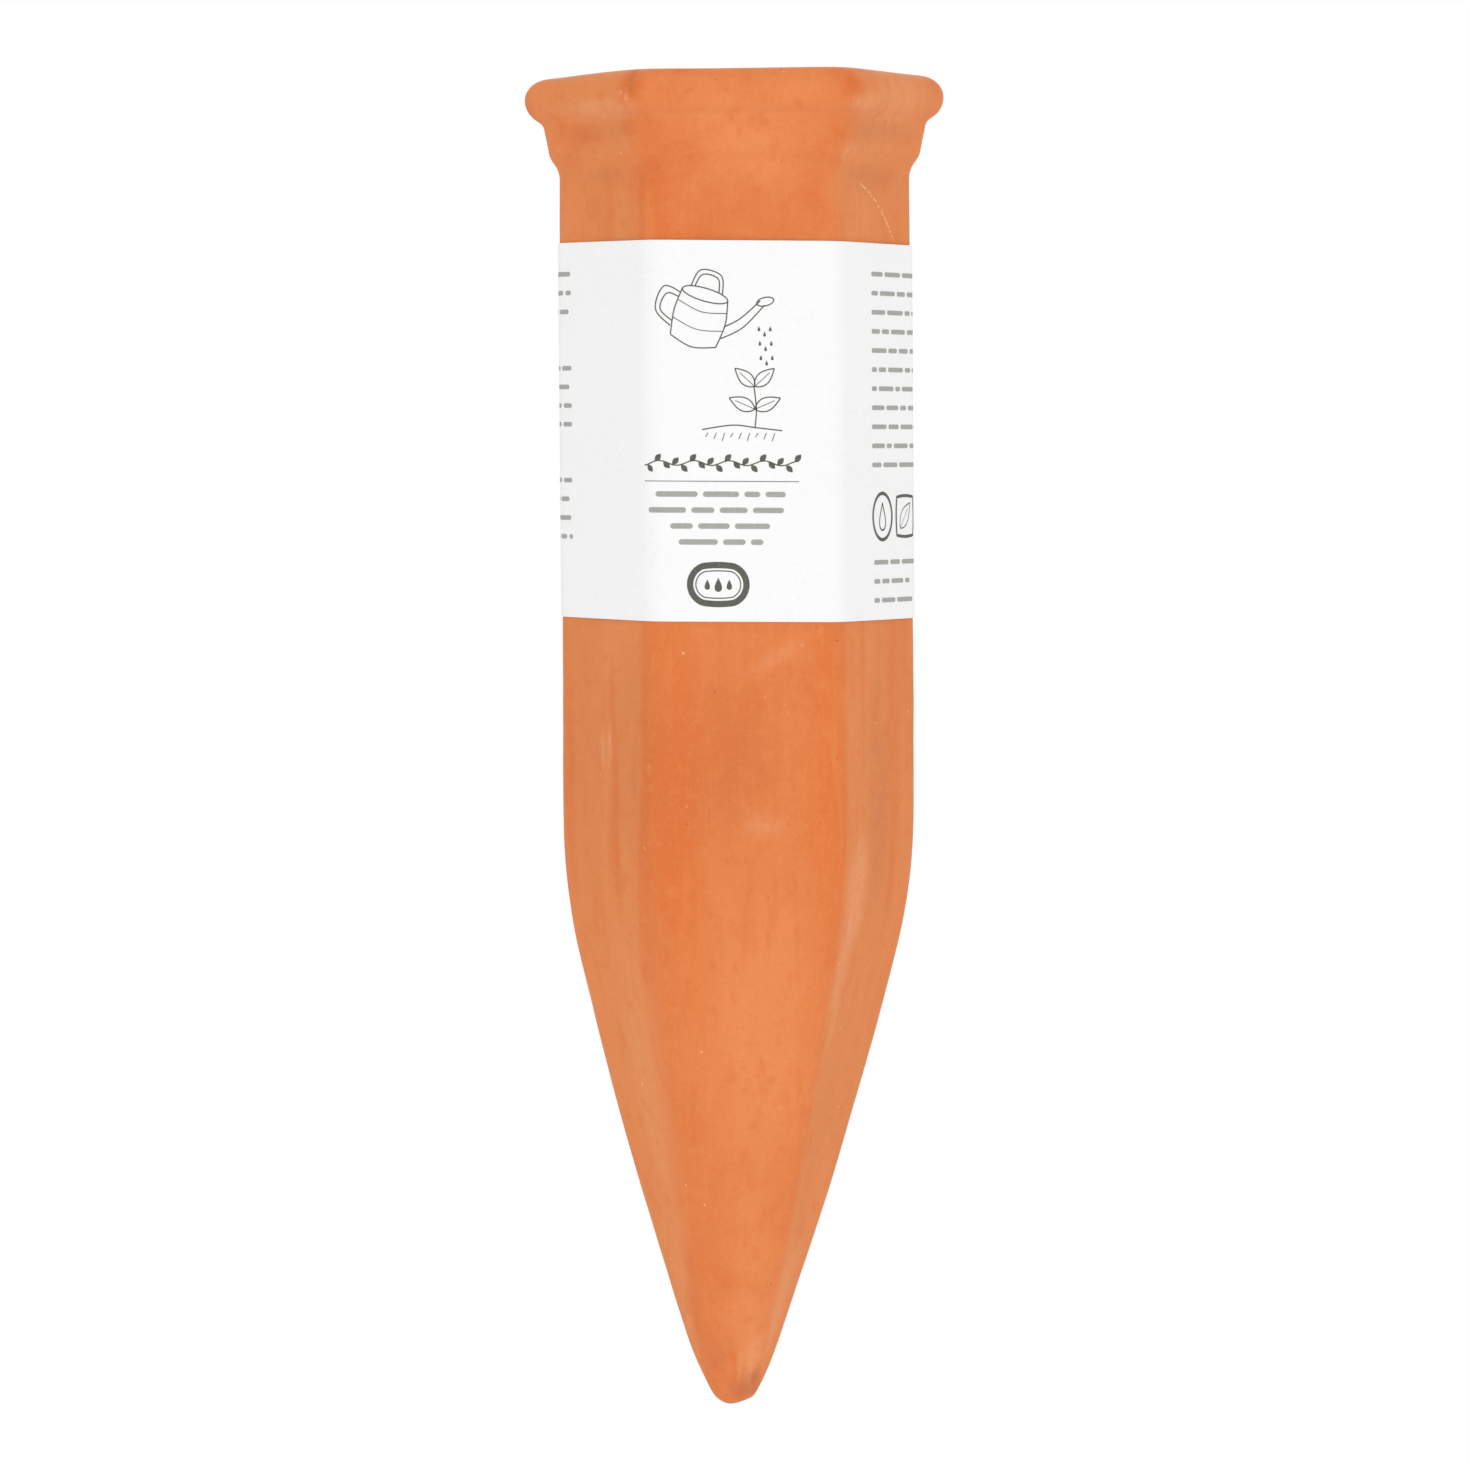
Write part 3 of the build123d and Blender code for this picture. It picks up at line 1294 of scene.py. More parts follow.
    def angles(self) -> Array:
        """Directions of the columns, crowded at the six corners.

        An even angle loses the crowding share of the sine of six times itself, over six, and the
        count is shifted by half a face so that the dense places fall on the corners.

        Returns:
            One direction a column, in radians.
        """
        even = 2 * pi * np.arange(self.columns) / self.columns
        off_corner = even - HALF_FACE
        return even - self.corner_crowding * np.sin(FACE_COUNT * off_corner) / FACE_COUNT

    def lean(self, height: Array) -> Array:
        """Sideways lean of the taper: a straight lean below its top, eased in round it.

        The ease is the mean of the drop below the top and its root with the ease's square.

        Args:
            height: Heights above the tip.

        Returns:
            How far each height is moved along x.
        """
        drop = self.lean_top - height
        eased = (drop + np.sqrt(drop**2 + self.lean_ease**2)) / 2
        whole = (self.lean_top + hypot(self.lean_top, self.lean_ease)) / 2
        return -self.tip_lean * eased / whole

    def surface(self) -> tuple[Array, dict[str, Array]]:
        """Works out the whole skin on a grid of outline points by columns.

        Each place lies in its column's direction at the reach of the section's rounded hexagon,
        plus the gentle waves, the rim's own unevenness and the taper's lean.

        Returns:
            The places, and the attributes painted on them.
        """
        line, outside = self.outline()
        distance, height = line.points[:, :1], line.points[:, 1:]
        inside = (np.arange(len(distance))[:, None] >= outside).astype(float)
        skin = 1.0 - inside
        below_top = self.total - height
        rounded = np.minimum(line.corners[:, None], self.roundest_corner * distance)
        corner = np.where(inside > 0, distance, rounded)
        angle = self.angles()[None, :]
        reach = hexagon_reach(angle, distance, corner)

        broad = self.broad_waves.over(angle, height) - self.broad_middle
        small = self.small_waves.over(angle, height)
        waves = skin * (broad + self.small_share * small) + inside * self.hollow_share * small
        reach = reach + smooth(distance, *self.wave_start) * self.waviness * waves
        reach = reach - skin * self.neck_slimness * smooth(height / self.total, *self.slim_from)

        at_rim = smooth(below_top, *self.rim_from)
        at_left = np.clip(-np.sin(angle), 0.0, 1.0) ** self.left_side
        swell = self.rim_wobble * (self.rim_waves.over(angle, height) - self.side_middle)
        reach = reach + skin * at_rim * (swell - self.rim_slimness * at_left)
        level = self.rim_waves.over(angle + self.top_shift, np.full_like(height, self.total))
        at_sides = np.sin(angle) ** self.both_sides
        droop = self.droop_shares[0] * at_sides + self.droop_shares[1] * at_left
        lift = at_rim * (self.rim_wobble * (level - self.top_middle) - self.rim_droop * droop)
        off_crease = (np.degrees(angle) - self.crease.angle + 180.0) % 360.0 - 180.0
        creased = bell(off_crease, 0.0, self.crease.half_angle) * smooth(below_top, *self.crease.below_top)
        reach = reach - skin * self.crease.depth * creased

        x = reach * np.sin(angle) + self.lean(height)
        y = -reach * np.cos(angle)
        places = np.stack([x, y, np.broadcast_to(height + lift, x.shape)], axis=-1)
        return self.blunted(places, skin), self.wear(angle, height, inside, distance, corner)

    def blunted(self, places: Array, skin: Array) -> Array:
        """Wears soft flats into the tip.

        A place that lies past a flat's plane is moved back to it along the plane's normal, by the
        mean of how far it is past and the root of that distance's square with the softness's square.

        Args:
            places: The skin's places.
            skin: The rows' shares outside the hollow.

        Returns:
            The worn places.
        """
        middle = np.array([-self.tip_lean, 0.0, self.tip_radius])
        low = skin * smooth(places[..., 2], *self.worn_from)
        for flat in self.worn_flats:
            facing = np.array(flat.facing)
            facing = facing / np.linalg.norm(facing)
            past = (places - middle) @ facing - (self.tip_radius - flat.depth * MM)
            back = (past + np.sqrt(past**2 + self.worn_softness**2)) / 2
            places = places - (low * back)[..., None] * facing
        return places

    def unrolled(self, angle: Array) -> Array:
        """Distances round the straight body's outline from the front face's middle, by column.

        They are the summed steps between the columns' places on the body's section, less one
        whole perimeter past the back.

        Args:
            angle: The columns' directions.

        Returns:
            The distances, which are below 0 on the left.
        """
        body = hexagon_reach(angle, np.float64(self.body_flat), np.float64(self.body_corner))
        ring = np.stack([body * np.sin(angle), -body * np.cos(angle)], axis=-1)
        steps = np.linalg.norm(np.roll(ring, -1, axis=-2) - ring, axis=-1)
        walked = np.concatenate([np.zeros_like(steps[..., :1]), np.cumsum(steps, axis=-1)], axis=-1)
        perimeter = walked[..., -1:]
        walked = walked[..., :-1]
        return np.where(walked > perimeter / 2, walked - perimeter, walked)

    def wear(
        self,
        angle: Array,
        height: Array,
        inside: Array,
        flat: Array,
        corner: Array,
    ) -> dict[str, Array]:
        """Paints the dust and painted sheen, the wear, and the pale, deeper, blushing and stained patches,
        among them painted light and painted shade.

        The inset is how far a place lies on its flat from where the corner's arc begins, and
        is negative on the arc.

        Args:
            angle: The columns' angles.
            height: The rows' heights.
            inside: The rows' shares inside the hollow.
            flat: The rows' distances of the flats from the axis.
            corner: The rows' corner radii.

        Returns:
            Attributes of four channels a place, by name.
        """
        shape = np.broadcast(angle, height).shape
        skin = np.broadcast_to(1.0 - inside, shape)
        below_top = self.total - height
        off_middle = (angle + HALF_FACE) % FACE_ANGLE - HALF_FACE
        face = np.round((angle - off_middle) / FACE_ANGLE).astype(int) % FACE_COUNT
        nearest = np.floor(angle / FACE_ANGLE).astype(int) % FACE_COUNT
        measures = MM * np.array([astuple(edge) for edge in self.edges])[nearest]
        middle, half_height, dust, taper_dust, neck_dust = np.moveaxis(measures, -1, 0)
        half_flat = (flat - corner) * tan(HALF_FACE)
        inset = half_flat - hexagon_reach(angle, flat, corner) * np.sin(np.abs(off_middle)) + dust
        inset = inset + taper_dust * bell(height, *self.on_taper)
        inset = inset + neck_dust * smooth(height, *self.on_neck)
        rub = self.least_rub + (1 - self.least_rub) * bell(height, middle, half_height)

        # Dust and painted sheen by face, a little less where the sides turn away from the front
        aside = np.degrees(np.abs((angle + pi) % (2 * pi) - pi))
        lost = self.side_loss * smooth(aside, *self.side_start) * smooth(aside, *self.side_end)
        bloom = skin * np.array(self.bloom_by_face)[face] * smooth(height, *self.bloom_from) * (1 - lost)
        chalk = self.chalked_bead.over(flat, flat.max() - self.bead_top_radius, below_top)
        chalk = np.clip(chalk + self.chalked_mouth.over(flat, self.bore_radius, below_top), 0.0, 1.0)

        around = self.unrolled(angle)
        tints = np.zeros((len(Tint), *shape))
        for tint, patches in self.patches.items():
            for patch in patches:
                tints[tint.value] += skin * patch.over(around, height)
        # Darker clay along the crease in the bead
        creased = bell(around, self.crease.around, self.crease.half_width)
        creased = creased * smooth(below_top, *self.crease.below_top)
        tints[Tint.STAIN.value] += self.crease.stain * skin * creased
        channels = {
            "wear": (bloom, inset, chalk, inside),
            "patches": np.clip(tints, 0.0, 1.0),
            "unrolled": (around, height, rub, 1.0),
        }
        return {
            name: np.stack([np.broadcast_to(values, shape) for values in four], axis=-1)
            for name, four in channels.items()
        }

    def build(self) -> Object:
        """Makes the clay skin, closed by one point at the tip and one at the hollow's bottom.

        Returns:
            The finished piece.
        """
        places, attributes = self.surface()
        rows, columns = places.shape[:2]
        quads = grid_quads(rows - 2, columns, wraps=True)
        ring = np.arange(columns)
        after = (ring + 1) % columns
        last = (rows - 3) * columns
        tip = (rows - 2) * columns
        tip_fan = np.stack([after, ring, np.full(columns, tip)], axis=-1)
        bottom_fan = np.stack([last + ring, last + after, np.full(columns, tip + 1)], axis=-1)
        piece = make_piece("clay_body", self.closed(places), [quads, tip_fan, bottom_fan])
        for name, values in attributes.items():
            layer = piece.data.color_attributes.new(name, "FLOAT_COLOR", "POINT")
            layer.data.foreach_set("color", self.closed(values).astype(np.float32).ravel())
        piece.data.materials.append(self.finish.material())
        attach(piece, Body.SPIKE.value)
        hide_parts("terracotta_body")
        log.info("clay body: %d rows of %d columns", rows, columns)
        return piece

    @staticmethod
    def closed(grid: Array) -> Array:
        """Rows of a grid as one list, with its first and last row each drawn together at the end."""
        inner = grid[1:-1].reshape(-1, grid.shape[-1])
        return np.vstack([inner, grid[0].mean(axis=0), grid[-1].mean(axis=0)])


@dataclass
class PaperBand:
    """Strip of white paper wrapped round the body, with its end lapped over its start at the back."""

    bottom: float
    height: float
    inner_flat: float = 21.14 * MM
    inner_corner: float = 4.04 * MM
    thickness: float = 0.10 * MM
    glue: float = 0.12 * MM
    lap: float = 10.0 * MM
    lap_step: float = 1.0 * MM
    # Lift off the back face, which comes in over these distances from its middle
    back_lift: float = 0.13 * MM
    back_from: Pair = (12.0 * MM, 9.0 * MM)
    # Bow off each flat, its uneven share, and the fall of the band's height with x
    bow: float = 0.07 * MM
    bow_unevenness: float = 0.25
    bow_waves: Waves = Waves(seed=3, count=10, most_turns=3, shortest=30 * MM, longest=90 * MM)
    skew: float = 0.013
    # Grid of the sheet
    column_step: float = 0.45 * MM
    row_step: float = 1.3 * MM
    # Turn in degrees past which an edge is shaded sharp, as the cut edges are
    sharp_turn: float = 50.0
    finish: PaperFinish = field(default_factory=PaperFinish)

    @property
    def path(self) -> HexagonPath:
        """Line that the paper's inner face follows."""
        return HexagonPath(self.inner_flat, self.inner_corner)

    @property
    def half_length(self) -> float:
        """Half the strip's length, which is the perimeter and the lap."""
        return (self.path.perimeter + self.lap) / 2

    def place(self, walked: Array, rise: Array, lift: Array | float) -> Array:
        """Places on or above the paper's inner face.

        The paper bows away from each flat by a squared cosine, stands off the back face, steps out
        by its own thickness and the glue's where the lap begins, and is wrapped a little askew, so
        its height falls with x.

        Args:
            walked: Arc lengths from the middle of the front face.
            rise: Heights above the band's bottom edge.
            lift: Distances out from the inner face.

        Returns:
            The places, with x, y and z last.
        """
        path = self.path
        half_round = path.perimeter / 2
        local = (walked + path.pitch / 2) % path.pitch - path.pitch / 2
        on_back = smooth(half_round - np.abs(walked), *self.back_from)
        waves = self.bow_waves.over(2 * pi * walked / path.perimeter, rise)
        swell = 1 - self.bow_unevenness + self.bow_unevenness * waves
        bowed = self.bow * (1 - on_back) * swell * np.cos(pi * local / path.pitch) ** 2
        lap_start = half_round - self.lap / 2
        climb = (self.glue + self.thickness) * smooth(-walked, lap_start - self.lap_step, lap_start)
        x, y = path.at(walked, bowed + self.back_lift * on_back + climb + lift)
        return np.stack([x, y, self.bottom + rise - self.skew * x], axis=-1)

    def build(self) -> Object:
        """Makes the strip as one closed sheet: a loop round its thickness, carried along its length.

        Returns:
            The finished piece.
        """
        half = self.half_length
        walked = np.linspace(-half, half, ceil(2 * half / self.column_step) + 1)
        rises = np.linspace(0.0, self.height, ceil(self.height / self.row_step) + 1)
        loop_rise = np.concatenate([rises, rises[::-1]])
        loop_lift = np.concatenate([np.full(len(rises), self.thickness), np.zeros(len(rises))])
        places = self.place(walked[:, None], loop_rise[None, :], loop_lift[None, :])
        columns, around = places.shape[:2]
        quads = grid_quads(columns, around, wraps=True)
        low = np.arange(len(rises) - 1)
        start_cap = np.stack([low, low + 1, around - 2 - low, around - 1 - low], axis=-1)
        end_cap = start_cap[:, ::-1] + (columns - 1) * around
        piece = make_piece("paper_band", places.reshape(-1, 3), [quads, start_cap, end_cap])
        piece.data.set_sharp_from_angle(angle=radians(self.sharp_turn))
        piece.data.materials.append(self.finish.material())
        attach(piece, Body.SLEEVE.value)
        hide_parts("paper_sleeve")
        log.info("paper band: cut %.1f by %.1f mm", 2 * half / MM, self.height / MM)
        return piece


def curve_through(points: tuple[Pair, ...], samples: int) -> Array:
    """Smooth curve through a few points: a Catmull-Rom spline.

    Between two points the curve is the cubic whose ends point along the line joining the points
    on either side. The curve's end points count twice.

    Args:
        points: The points, in millimetres.
        samples: Samples between two points.

    Returns:
        The samples, one row each.
    """
    knots = np.array(points, dtype=float)
    padded = np.vstack([knots[0], knots, knots[-1]])
    spans = len(knots) - 1
    share = np.arange(samples)[None, :, None] / samples
    before, start, end, after = (padded[offset : offset + spans, None, :] for offset in range(4))
    cubic = 0.5 * (
        2 * start
        + (end - before) * share
        + (2 * before - 5 * start + 4 * end - after) * share**2
        + (3 * start - before - 3 * end + after) * share**3
    )
    return np.vstack([cubic.reshape(-1, 2), knots[-1:]])


@dataclass
class PrintSheet:
    """Collects flat ink marks in millimetres on the unrolled band, then lays them on its surface.

    A stroke's steps are no longer than its longest step, and its ends are rounded over a few more.
    """

    band: PaperBand
    longest_step: float = 0.4
    least_steps: int = 6
    end_steps: int = 4
    bluntest_end: float = 0.02
    probe: float = 1.0 * MM
    vertices: list[Array] = field(default_factory=list)
    faces: list[Array] = field(default_factory=list)
    count: int = 0

    def add(self, grid: Array, faces: Array) -> None:
        """Adds one mark.

        Args:
            grid: Its points, as rows and columns of pairs.
            faces: Its quads, numbered from its own first point.
        """
        self.vertices.append(grid.reshape(-1, 2))
        self.faces.append(faces + self.count)
        self.count += len(self.vertices[-1])

    @staticmethod
    def ribbon(centre: Array, ahead: Array, half: Array) -> Array:
        """Three points across each point of a line: one on each side, half the width off, and one on it.

        The sides lie along the normal, which is the unit step ahead turned by a quarter.

        Args:
            centre: Points along the line.
            ahead: Steps along the line there, of any length.
            half: Half widths there.

        Returns:
            A grid of one row of three points a point of the line.
        """
        ahead = ahead / np.maximum(np.hypot(ahead[:, 0], ahead[:, 1]), 1e-9)[:, None]
        normal = np.column_stack([-ahead[:, 1], ahead[:, 0]])
        across = np.array([1.0, 0.0, -1.0])
        return centre[:, None, :] + normal[:, None, :] * half[:, None, None] * across[None, :, None]

    def stroke(self, line: Array, width: float) -> None:
        """Draws a pen stroke along a line. Near its ends the half width shrinks as a quarter circle.

        Args:
            line: Points along the stroke.
            width: Width of the pen.
        """
        walked = np.concatenate([[0.0], np.cumsum(np.hypot(*np.diff(line, axis=0).T))])
        total = walked[-1]
        cap = min(width / 2, total / 2)
        count = max(self.least_steps, ceil(total / self.longest_step))
        rounded = np.linspace(0, cap, self.end_steps)
        straight = np.linspace(cap, total - cap, count)
        gone = np.unique(np.concatenate([rounded, straight, total - rounded]))
        centre = np.column_stack([np.interp(gone, walked, line[:, 0]), np.interp(gone, walked, line[:, 1])])
        to_end = np.clip(np.minimum(gone, total - gone) / cap, 0.0, 1.0)
        half = width / 2 * np.sqrt(np.clip(1 - (1 - to_end) ** 2, self.bluntest_end, 1.0))
        grid = self.ribbon(centre, np.gradient(centre, axis=0), half)
        self.add(grid, grid_quads(len(gone), grid.shape[1], wraps=False))

    def loop(self, line: Array, width: float) -> None:
        """Draws a closed line of even width.

        Args:
            line: Points along it, the last of which repeats the first.
            width: Width of the pen.
        """
        points = line[:-1]
        ahead = np.roll(points, -1, axis=0) - np.roll(points, 1, axis=0)
        grid = self.ribbon(points, ahead, np.full(len(points), width / 2))
        rows, columns = grid.shape[:2]
        self.add(grid, grid_quads(rows + 1, columns, wraps=False) % (rows * columns))

    def filled(self, line: Array, rings: int = 4, smallest: float = 0.02) -> None:
        """Fills a closed line with rings that shrink to its middle.

        Args:
            line: Points along it, the last of which repeats the first.
            rings: Number of rings.
            smallest: Size of the last ring, as a share of the line's own.
        """
        points = line[:-1]
        middle = points.mean(axis=0)
        shares = np.linspace(1.0, smallest, rings)[:, None, None]
        grid = middle + (points[None, :, :] - middle) * shares
        self.add(grid, grid_quads(rings, len(points), wraps=True))

    def lay(self, name: str, finish: InkFinish, lift: float) -> Object:
        """Lays the collected marks on the band as one piece.

        A quad whose cross product points into the paper is turned over. Outwards is found by
        placing every point a second time, one probe's length further out.

        Args:
            name: The piece's name.
            finish: The ink.
            lift: Height of the ink over the paper's outer face, in metres.

        Returns:
            The finished piece.
        """
        walked, rise = (np.vstack(self.vertices) * MM).T
        quads = np.vstack(self.faces)
        places = self.band.place(walked, rise, self.band.thickness + lift)
        outwards = self.band.place(walked, rise, self.band.thickness + self.probe) - places
        first, second, third = (places[quads[:, corner]] for corner in range(3))
        facing = np.sum(np.cross(second - first, third - first) * outwards[quads[:, 0]], axis=1)
        quads[facing < 0] = quads[facing < 0][:, ::-1]
        piece = make_piece(name, places, [quads])
        piece.data.materials.append(finish.material())
        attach(piece, Body.SLEEVE.value)
        log.info("%s: %d vertices", name, len(places))
        return piece


@dataclass(frozen=True)
class Oval:
    """Ellipse of the print: its middle, half axes, number of points, and turn in degrees.

    An even angle's cosine and sine are stretched by the half axes, then turned.
    """

    s: float
    h: float
    half_s: float
    half_h: float
    count: int
    turn: float = 0.0

    def line(self) -> Array:
        """Closed line along it.

        Returns:
            The points, of which the last repeats the first.
        """
        angle = np.linspace(0, 2 * pi, self.count + 1)
        flat = np.column_stack([self.half_s * np.cos(angle), self.half_h * np.sin(angle)])
        return turned(flat, self.turn) + np.array([self.s, self.h])


@dataclass(frozen=True)
class Paragraph:
    """Greeked lines, from the first one's left end and height on down.

    The left end is None where they are centred. Each line lies a drop below the one before and has
    its own length, and all are bars of one height.
    """

    s: float | None
    h: float
    drop: float
    lengths: tuple[float, ...]
    bar: float = 0.62


@dataclass
class BandPrint:
    """Generic print: a watering can over a seedling, a leaf garland, greeked lines and a drop badge.

    All its sizes are in millimetres on the unrolled band, with s round it from the middle of the
    front face and h above its bottom edge. The can's are from its own middle before it is tilted,
    and the seedling's s is from its root.
    """

    band: PaperBand
    centre: float = -3.3
    dark: InkFinish = InkFinish("dark_ink", paint(92, 92, 84), paint(120, 120, 112))
    grey: InkFinish = InkFinish("grey_ink", paint(168, 168, 163), paint(188, 188, 184))
    lift: float = 0.012 * MM
    seed: int = 41
    pen: float = 0.17
    fine_pen: float = 0.7
    vein_pen: float = 0.6
    # Watering can
    can_middle: Pair = (-2.2, 40.0)
    can_tilt: float = -16.0
    can_lines: tuple[tuple[Pair, ...], ...] = (
        ((-3.6, 3.0), (-3.9, 0.0), (-3.5, -3.3)),
        ((2.6, 3.0), (3.1, 0.0), (2.7, -3.3)),
        ((-3.5, -3.3), (-0.4, -4.1), (2.7, -3.3)),
        ((-2.6, 3.6), (-1.9, 6.0), (0.9, 6.0), (1.7, 3.6)),
        ((-2.1, 3.7), (-1.5, 5.5), (0.6, 5.5), (1.2, 3.7)),
        ((-3.6, 2.4), (-6.0, 2.6), (-6.3, -0.6), (-3.8, -2.2)),
        ((-3.8, 1.8), (-5.4, 1.8), (-5.7, -0.4), (-3.8, -1.5)),
        ((3.0, -2.0), (5.4, 0.2), (7.4, 3.9)),
        ((3.0, -0.4), (4.8, 1.3), (6.7, 4.3)),
    )
    can_hoops: tuple[tuple[Pair, ...], ...] = (
        ((-3.7, 1.4), (-0.4, 0.7), (2.9, 1.4)),
        ((-3.8, -1.0), (-0.4, -1.7), (3.0, -1.0)),
    )
    can_ovals: tuple[Oval, ...] = (Oval(-0.5, 3.0, 3.1, 0.85, 36), Oval(7.35, 4.35, 1.15, 0.55, 28, 30.0))
    can_samples: int = 8
    # Drops that fall from it: their number each way, the first one's place, and the steps aside and down
    fall_count: int = 3
    fall_start: Pair = (5.2, 38.6)
    fall_aside: Pair = (0.75, -0.7)
    fall_down: Pair = (0.12, -1.9)
    fall_size: float = 0.26
    # Seedling: its stem and ground, its leaves as foot, reach and rise, and the dashes under it
    root: float = 4.6
    seedling_lines: tuple[tuple[Pair, ...], ...] = (
        ((0.0, 25.6), (0.2, 28.0), (-0.1, 31.0)),
        ((-7.0, 25.3), (-3.0, 25.9), (0.0, 25.6), (3.6, 25.2)),
    )
    seedling_leaves: tuple[Triple, ...] = ((28.0, 3.4, 1.5), (31.0, 2.6, 2.4))
    seedling_samples: int = 10
    dash_count: int = 9
    dash_start: Pair = (-6.2, 24.9)
    dash_step: float = 1.1
    dash_lean: float = -0.35
    dash_ends: Triple = (24.3, 24.05, 23.8)
    # Leaves in outline, with a vein that ends some points before the tip, and the garland's full ones
    leaf_samples: int = 14
    vein_stop: int = 3
    leaf_fullness: float = 0.24
    leaf_skew: float = 0.8
    sprig_samples: int = 9
    sprig_fullness: float = 0.30
    sprig_reach: Pair = (0.85, 0.95)
    # Garland and the rule under it
    half_width: float = 10.4
    garland_height: float = 20.9
    garland_samples: int = 120
    garland_turns: int = 9
    garland_wave: float = 0.32
    rule_height: float = 18.5
    rule_width: float = 0.10
    # Badge: its middle, its rings as half axes and width, and its drops as offset and size
    badge_middle: Pair = (-0.4, 4.9)
    badge_rings: tuple[Triple, ...] = ((3.72, 2.57, 0.84), (2.96, 1.81, 0.16))
    badge_squareness: float = 3.0
    badge_samples: int = 65
    badge_drops: tuple[Pair, ...] = ((-1.45, 0.52), (0.0, 0.72), (1.45, 0.52))
    # Icons: a drop in a ring, and a leaf in a square with round corners
    ring: Oval = Oval(25.0, 13.8, 2.9, 3.1, 48)
    ring_width: float = 0.48
    ring_drop: Pair = (1.35, 0.26)
    square_middle: Pair = (32.0, 13.8)
    square_half: float = 2.75
    square_sharpness: float = 0.8
    square_samples: int = 49
    square_width: float = 0.42
    square_leaf: tuple[Pair, Pair] = ((30.5, 12.2), (33.6, 15.6))
    # Greeked lines, whose words and gaps are given in heights of their bars
    word_lengths: Pair = (2.2, 8.0)
    word_gap: float = 0.95
    least_word: float = 1.2
    paragraphs: tuple[Paragraph, ...] = (
        Paragraph(None, 16.8, 2.10, (17.2, 19.4, 13.4, 11.2), 0.72),
        Paragraph(21.9, 46.1, 2.54, (33.0, 33.0, 33.0, 33.0, 20.46)),
        Paragraph(21.9, 33.4, 2.54, (33.0, 33.0, 33.0, 33.0, 33.0, 20.46)),
        Paragraph(22.3, 7.7, 2.54, (14.0, 11.0, 12.5)),
        Paragraph(-64.8, 46.0, 2.52, (33.0, 33.0, 33.0, 18.15)),
        Paragraph(-64.8, 33.4, 2.50, (33.0, 33.0, 33.0, 33.0, 18.15)),
        Paragraph(-64.8, 18.4, 2.52, (33.0, 33.0, 33.0, 33.0, 18.15)),
    )

    def __post_init__(self) -> None:
        """Starts an empty sheet for each ink."""
        self.dark_marks = PrintSheet(self.band)
        self.grey_marks = PrintSheet(self.band)

    @staticmethod
    def drop(s: float, h: float, size: float) -> Array:
        """Water drop as a closed line: a circle drawn out to a point at its top.

        Its width is the sine of the angle from the top, times the sine of half of it to a power.

        Args:
            s: Place of its middle round the band.
            h: Height of its middle.
            size: Radius of the circle.

        Returns:
            The line, whose last point repeats the first.
        """
        slimness, tallness, count = 1.6, 1.35, 25
        angle = np.linspace(0, 2 * pi, count)
        narrow = np.sin(angle / 2) ** slimness
        return np.column_stack([s + size * np.sin(angle) * narrow, h + tallness * size * np.cos(angle)])

    @staticmethod
    def leaf_lines(
        foot: Pair, tip: Pair, samples: int, fullness: float, skew: float = 1.0
    ) -> tuple[Array, Array, Array]:
        """Lines of a leaf from its foot to its tip.

        Each side stands off the middle line by the leaf's length times its fullness times the sine
        of half a turn along it. A skew under 1 moves the widest place towards the foot.

        Args:
            foot: Where the leaf begins.
            tip: Where it ends.
            samples: Points along each line.
            fullness: Half its width, as a share of its length.
            skew: Power of the share along the leaf.

        Returns:
            The one side, the middle line and the other side.
        """
        along = np.array(tip) - np.array(foot)
        share = np.linspace(0, 1, samples)[:, None]
        belly = fullness * np.sin(pi * share**skew) * np.array([-along[1], along[0]])
        middle = np.array(foot) + along * share
        return middle + belly, middle, middle - belly

    def leaf(self, foot: Pair, tip: Pair) -> None:
        """Draws one leaf's outline, and its vein, which ends before its tip.

        Args:
            foot: Where the leaf begins.
            tip: Where it ends.
        """
        upper, vein, lower = self.leaf_lines(foot, tip, self.leaf_samples, self.leaf_fullness, self.leaf_skew)
        self.dark_marks.stroke(upper, self.pen)
        self.dark_marks.stroke(lower, self.pen)
        self.dark_marks.stroke(vein[: -self.vein_stop], self.pen * self.vein_pen)

    def watering_can(self) -> None:
        """Draws the tilted can, and its falling drops in three columns, the middle one lower."""
        middle = np.array(self.can_middle) + np.array([self.centre, 0.0])
        for share, lines in ((1.0, self.can_lines), (self.fine_pen, self.can_hoops)):
            for points in lines:
                line = turned(curve_through(points, self.can_samples), self.can_tilt)
                self.dark_marks.stroke(line + middle, self.pen * share)
        for oval in self.can_ovals:
            self.dark_marks.loop(turned(oval.line(), self.can_tilt) + middle, self.pen)
        for column in range(self.fall_count):
            for fall in range(self.fall_count):
                s = self.centre + self.fall_start[0] + self.fall_aside[0] * column + self.fall_down[0] * fall
                h = self.fall_start[1] + self.fall_aside[1] * (column % 2) + self.fall_down[1] * fall
                self.dark_marks.filled(self.drop(s, h, self.fall_size))

    def seedling(self) -> None:
        """Draws the seedling under the can, with two pairs of leaves, its ground and the dashes."""
        root = self.centre + self.root
        for points in self.seedling_lines:
            line = curve_through(points, self.seedling_samples)
            self.dark_marks.stroke(line + np.array([root, 0.0]), self.pen)
        for side in (-1, 1):
            for foot, reach, rise in self.seedling_leaves:
                self.leaf((root, foot), (root + side * reach, foot + rise))
        for index in range(self.dash_count):
            s = root + self.dash_start[0] + index * self.dash_step
            end = (s + self.dash_lean, self.dash_ends[index % len(self.dash_ends)])
            self.dark_marks.stroke(np.array([(s, self.dash_start[1]), end]), self.pen * self.fine_pen)

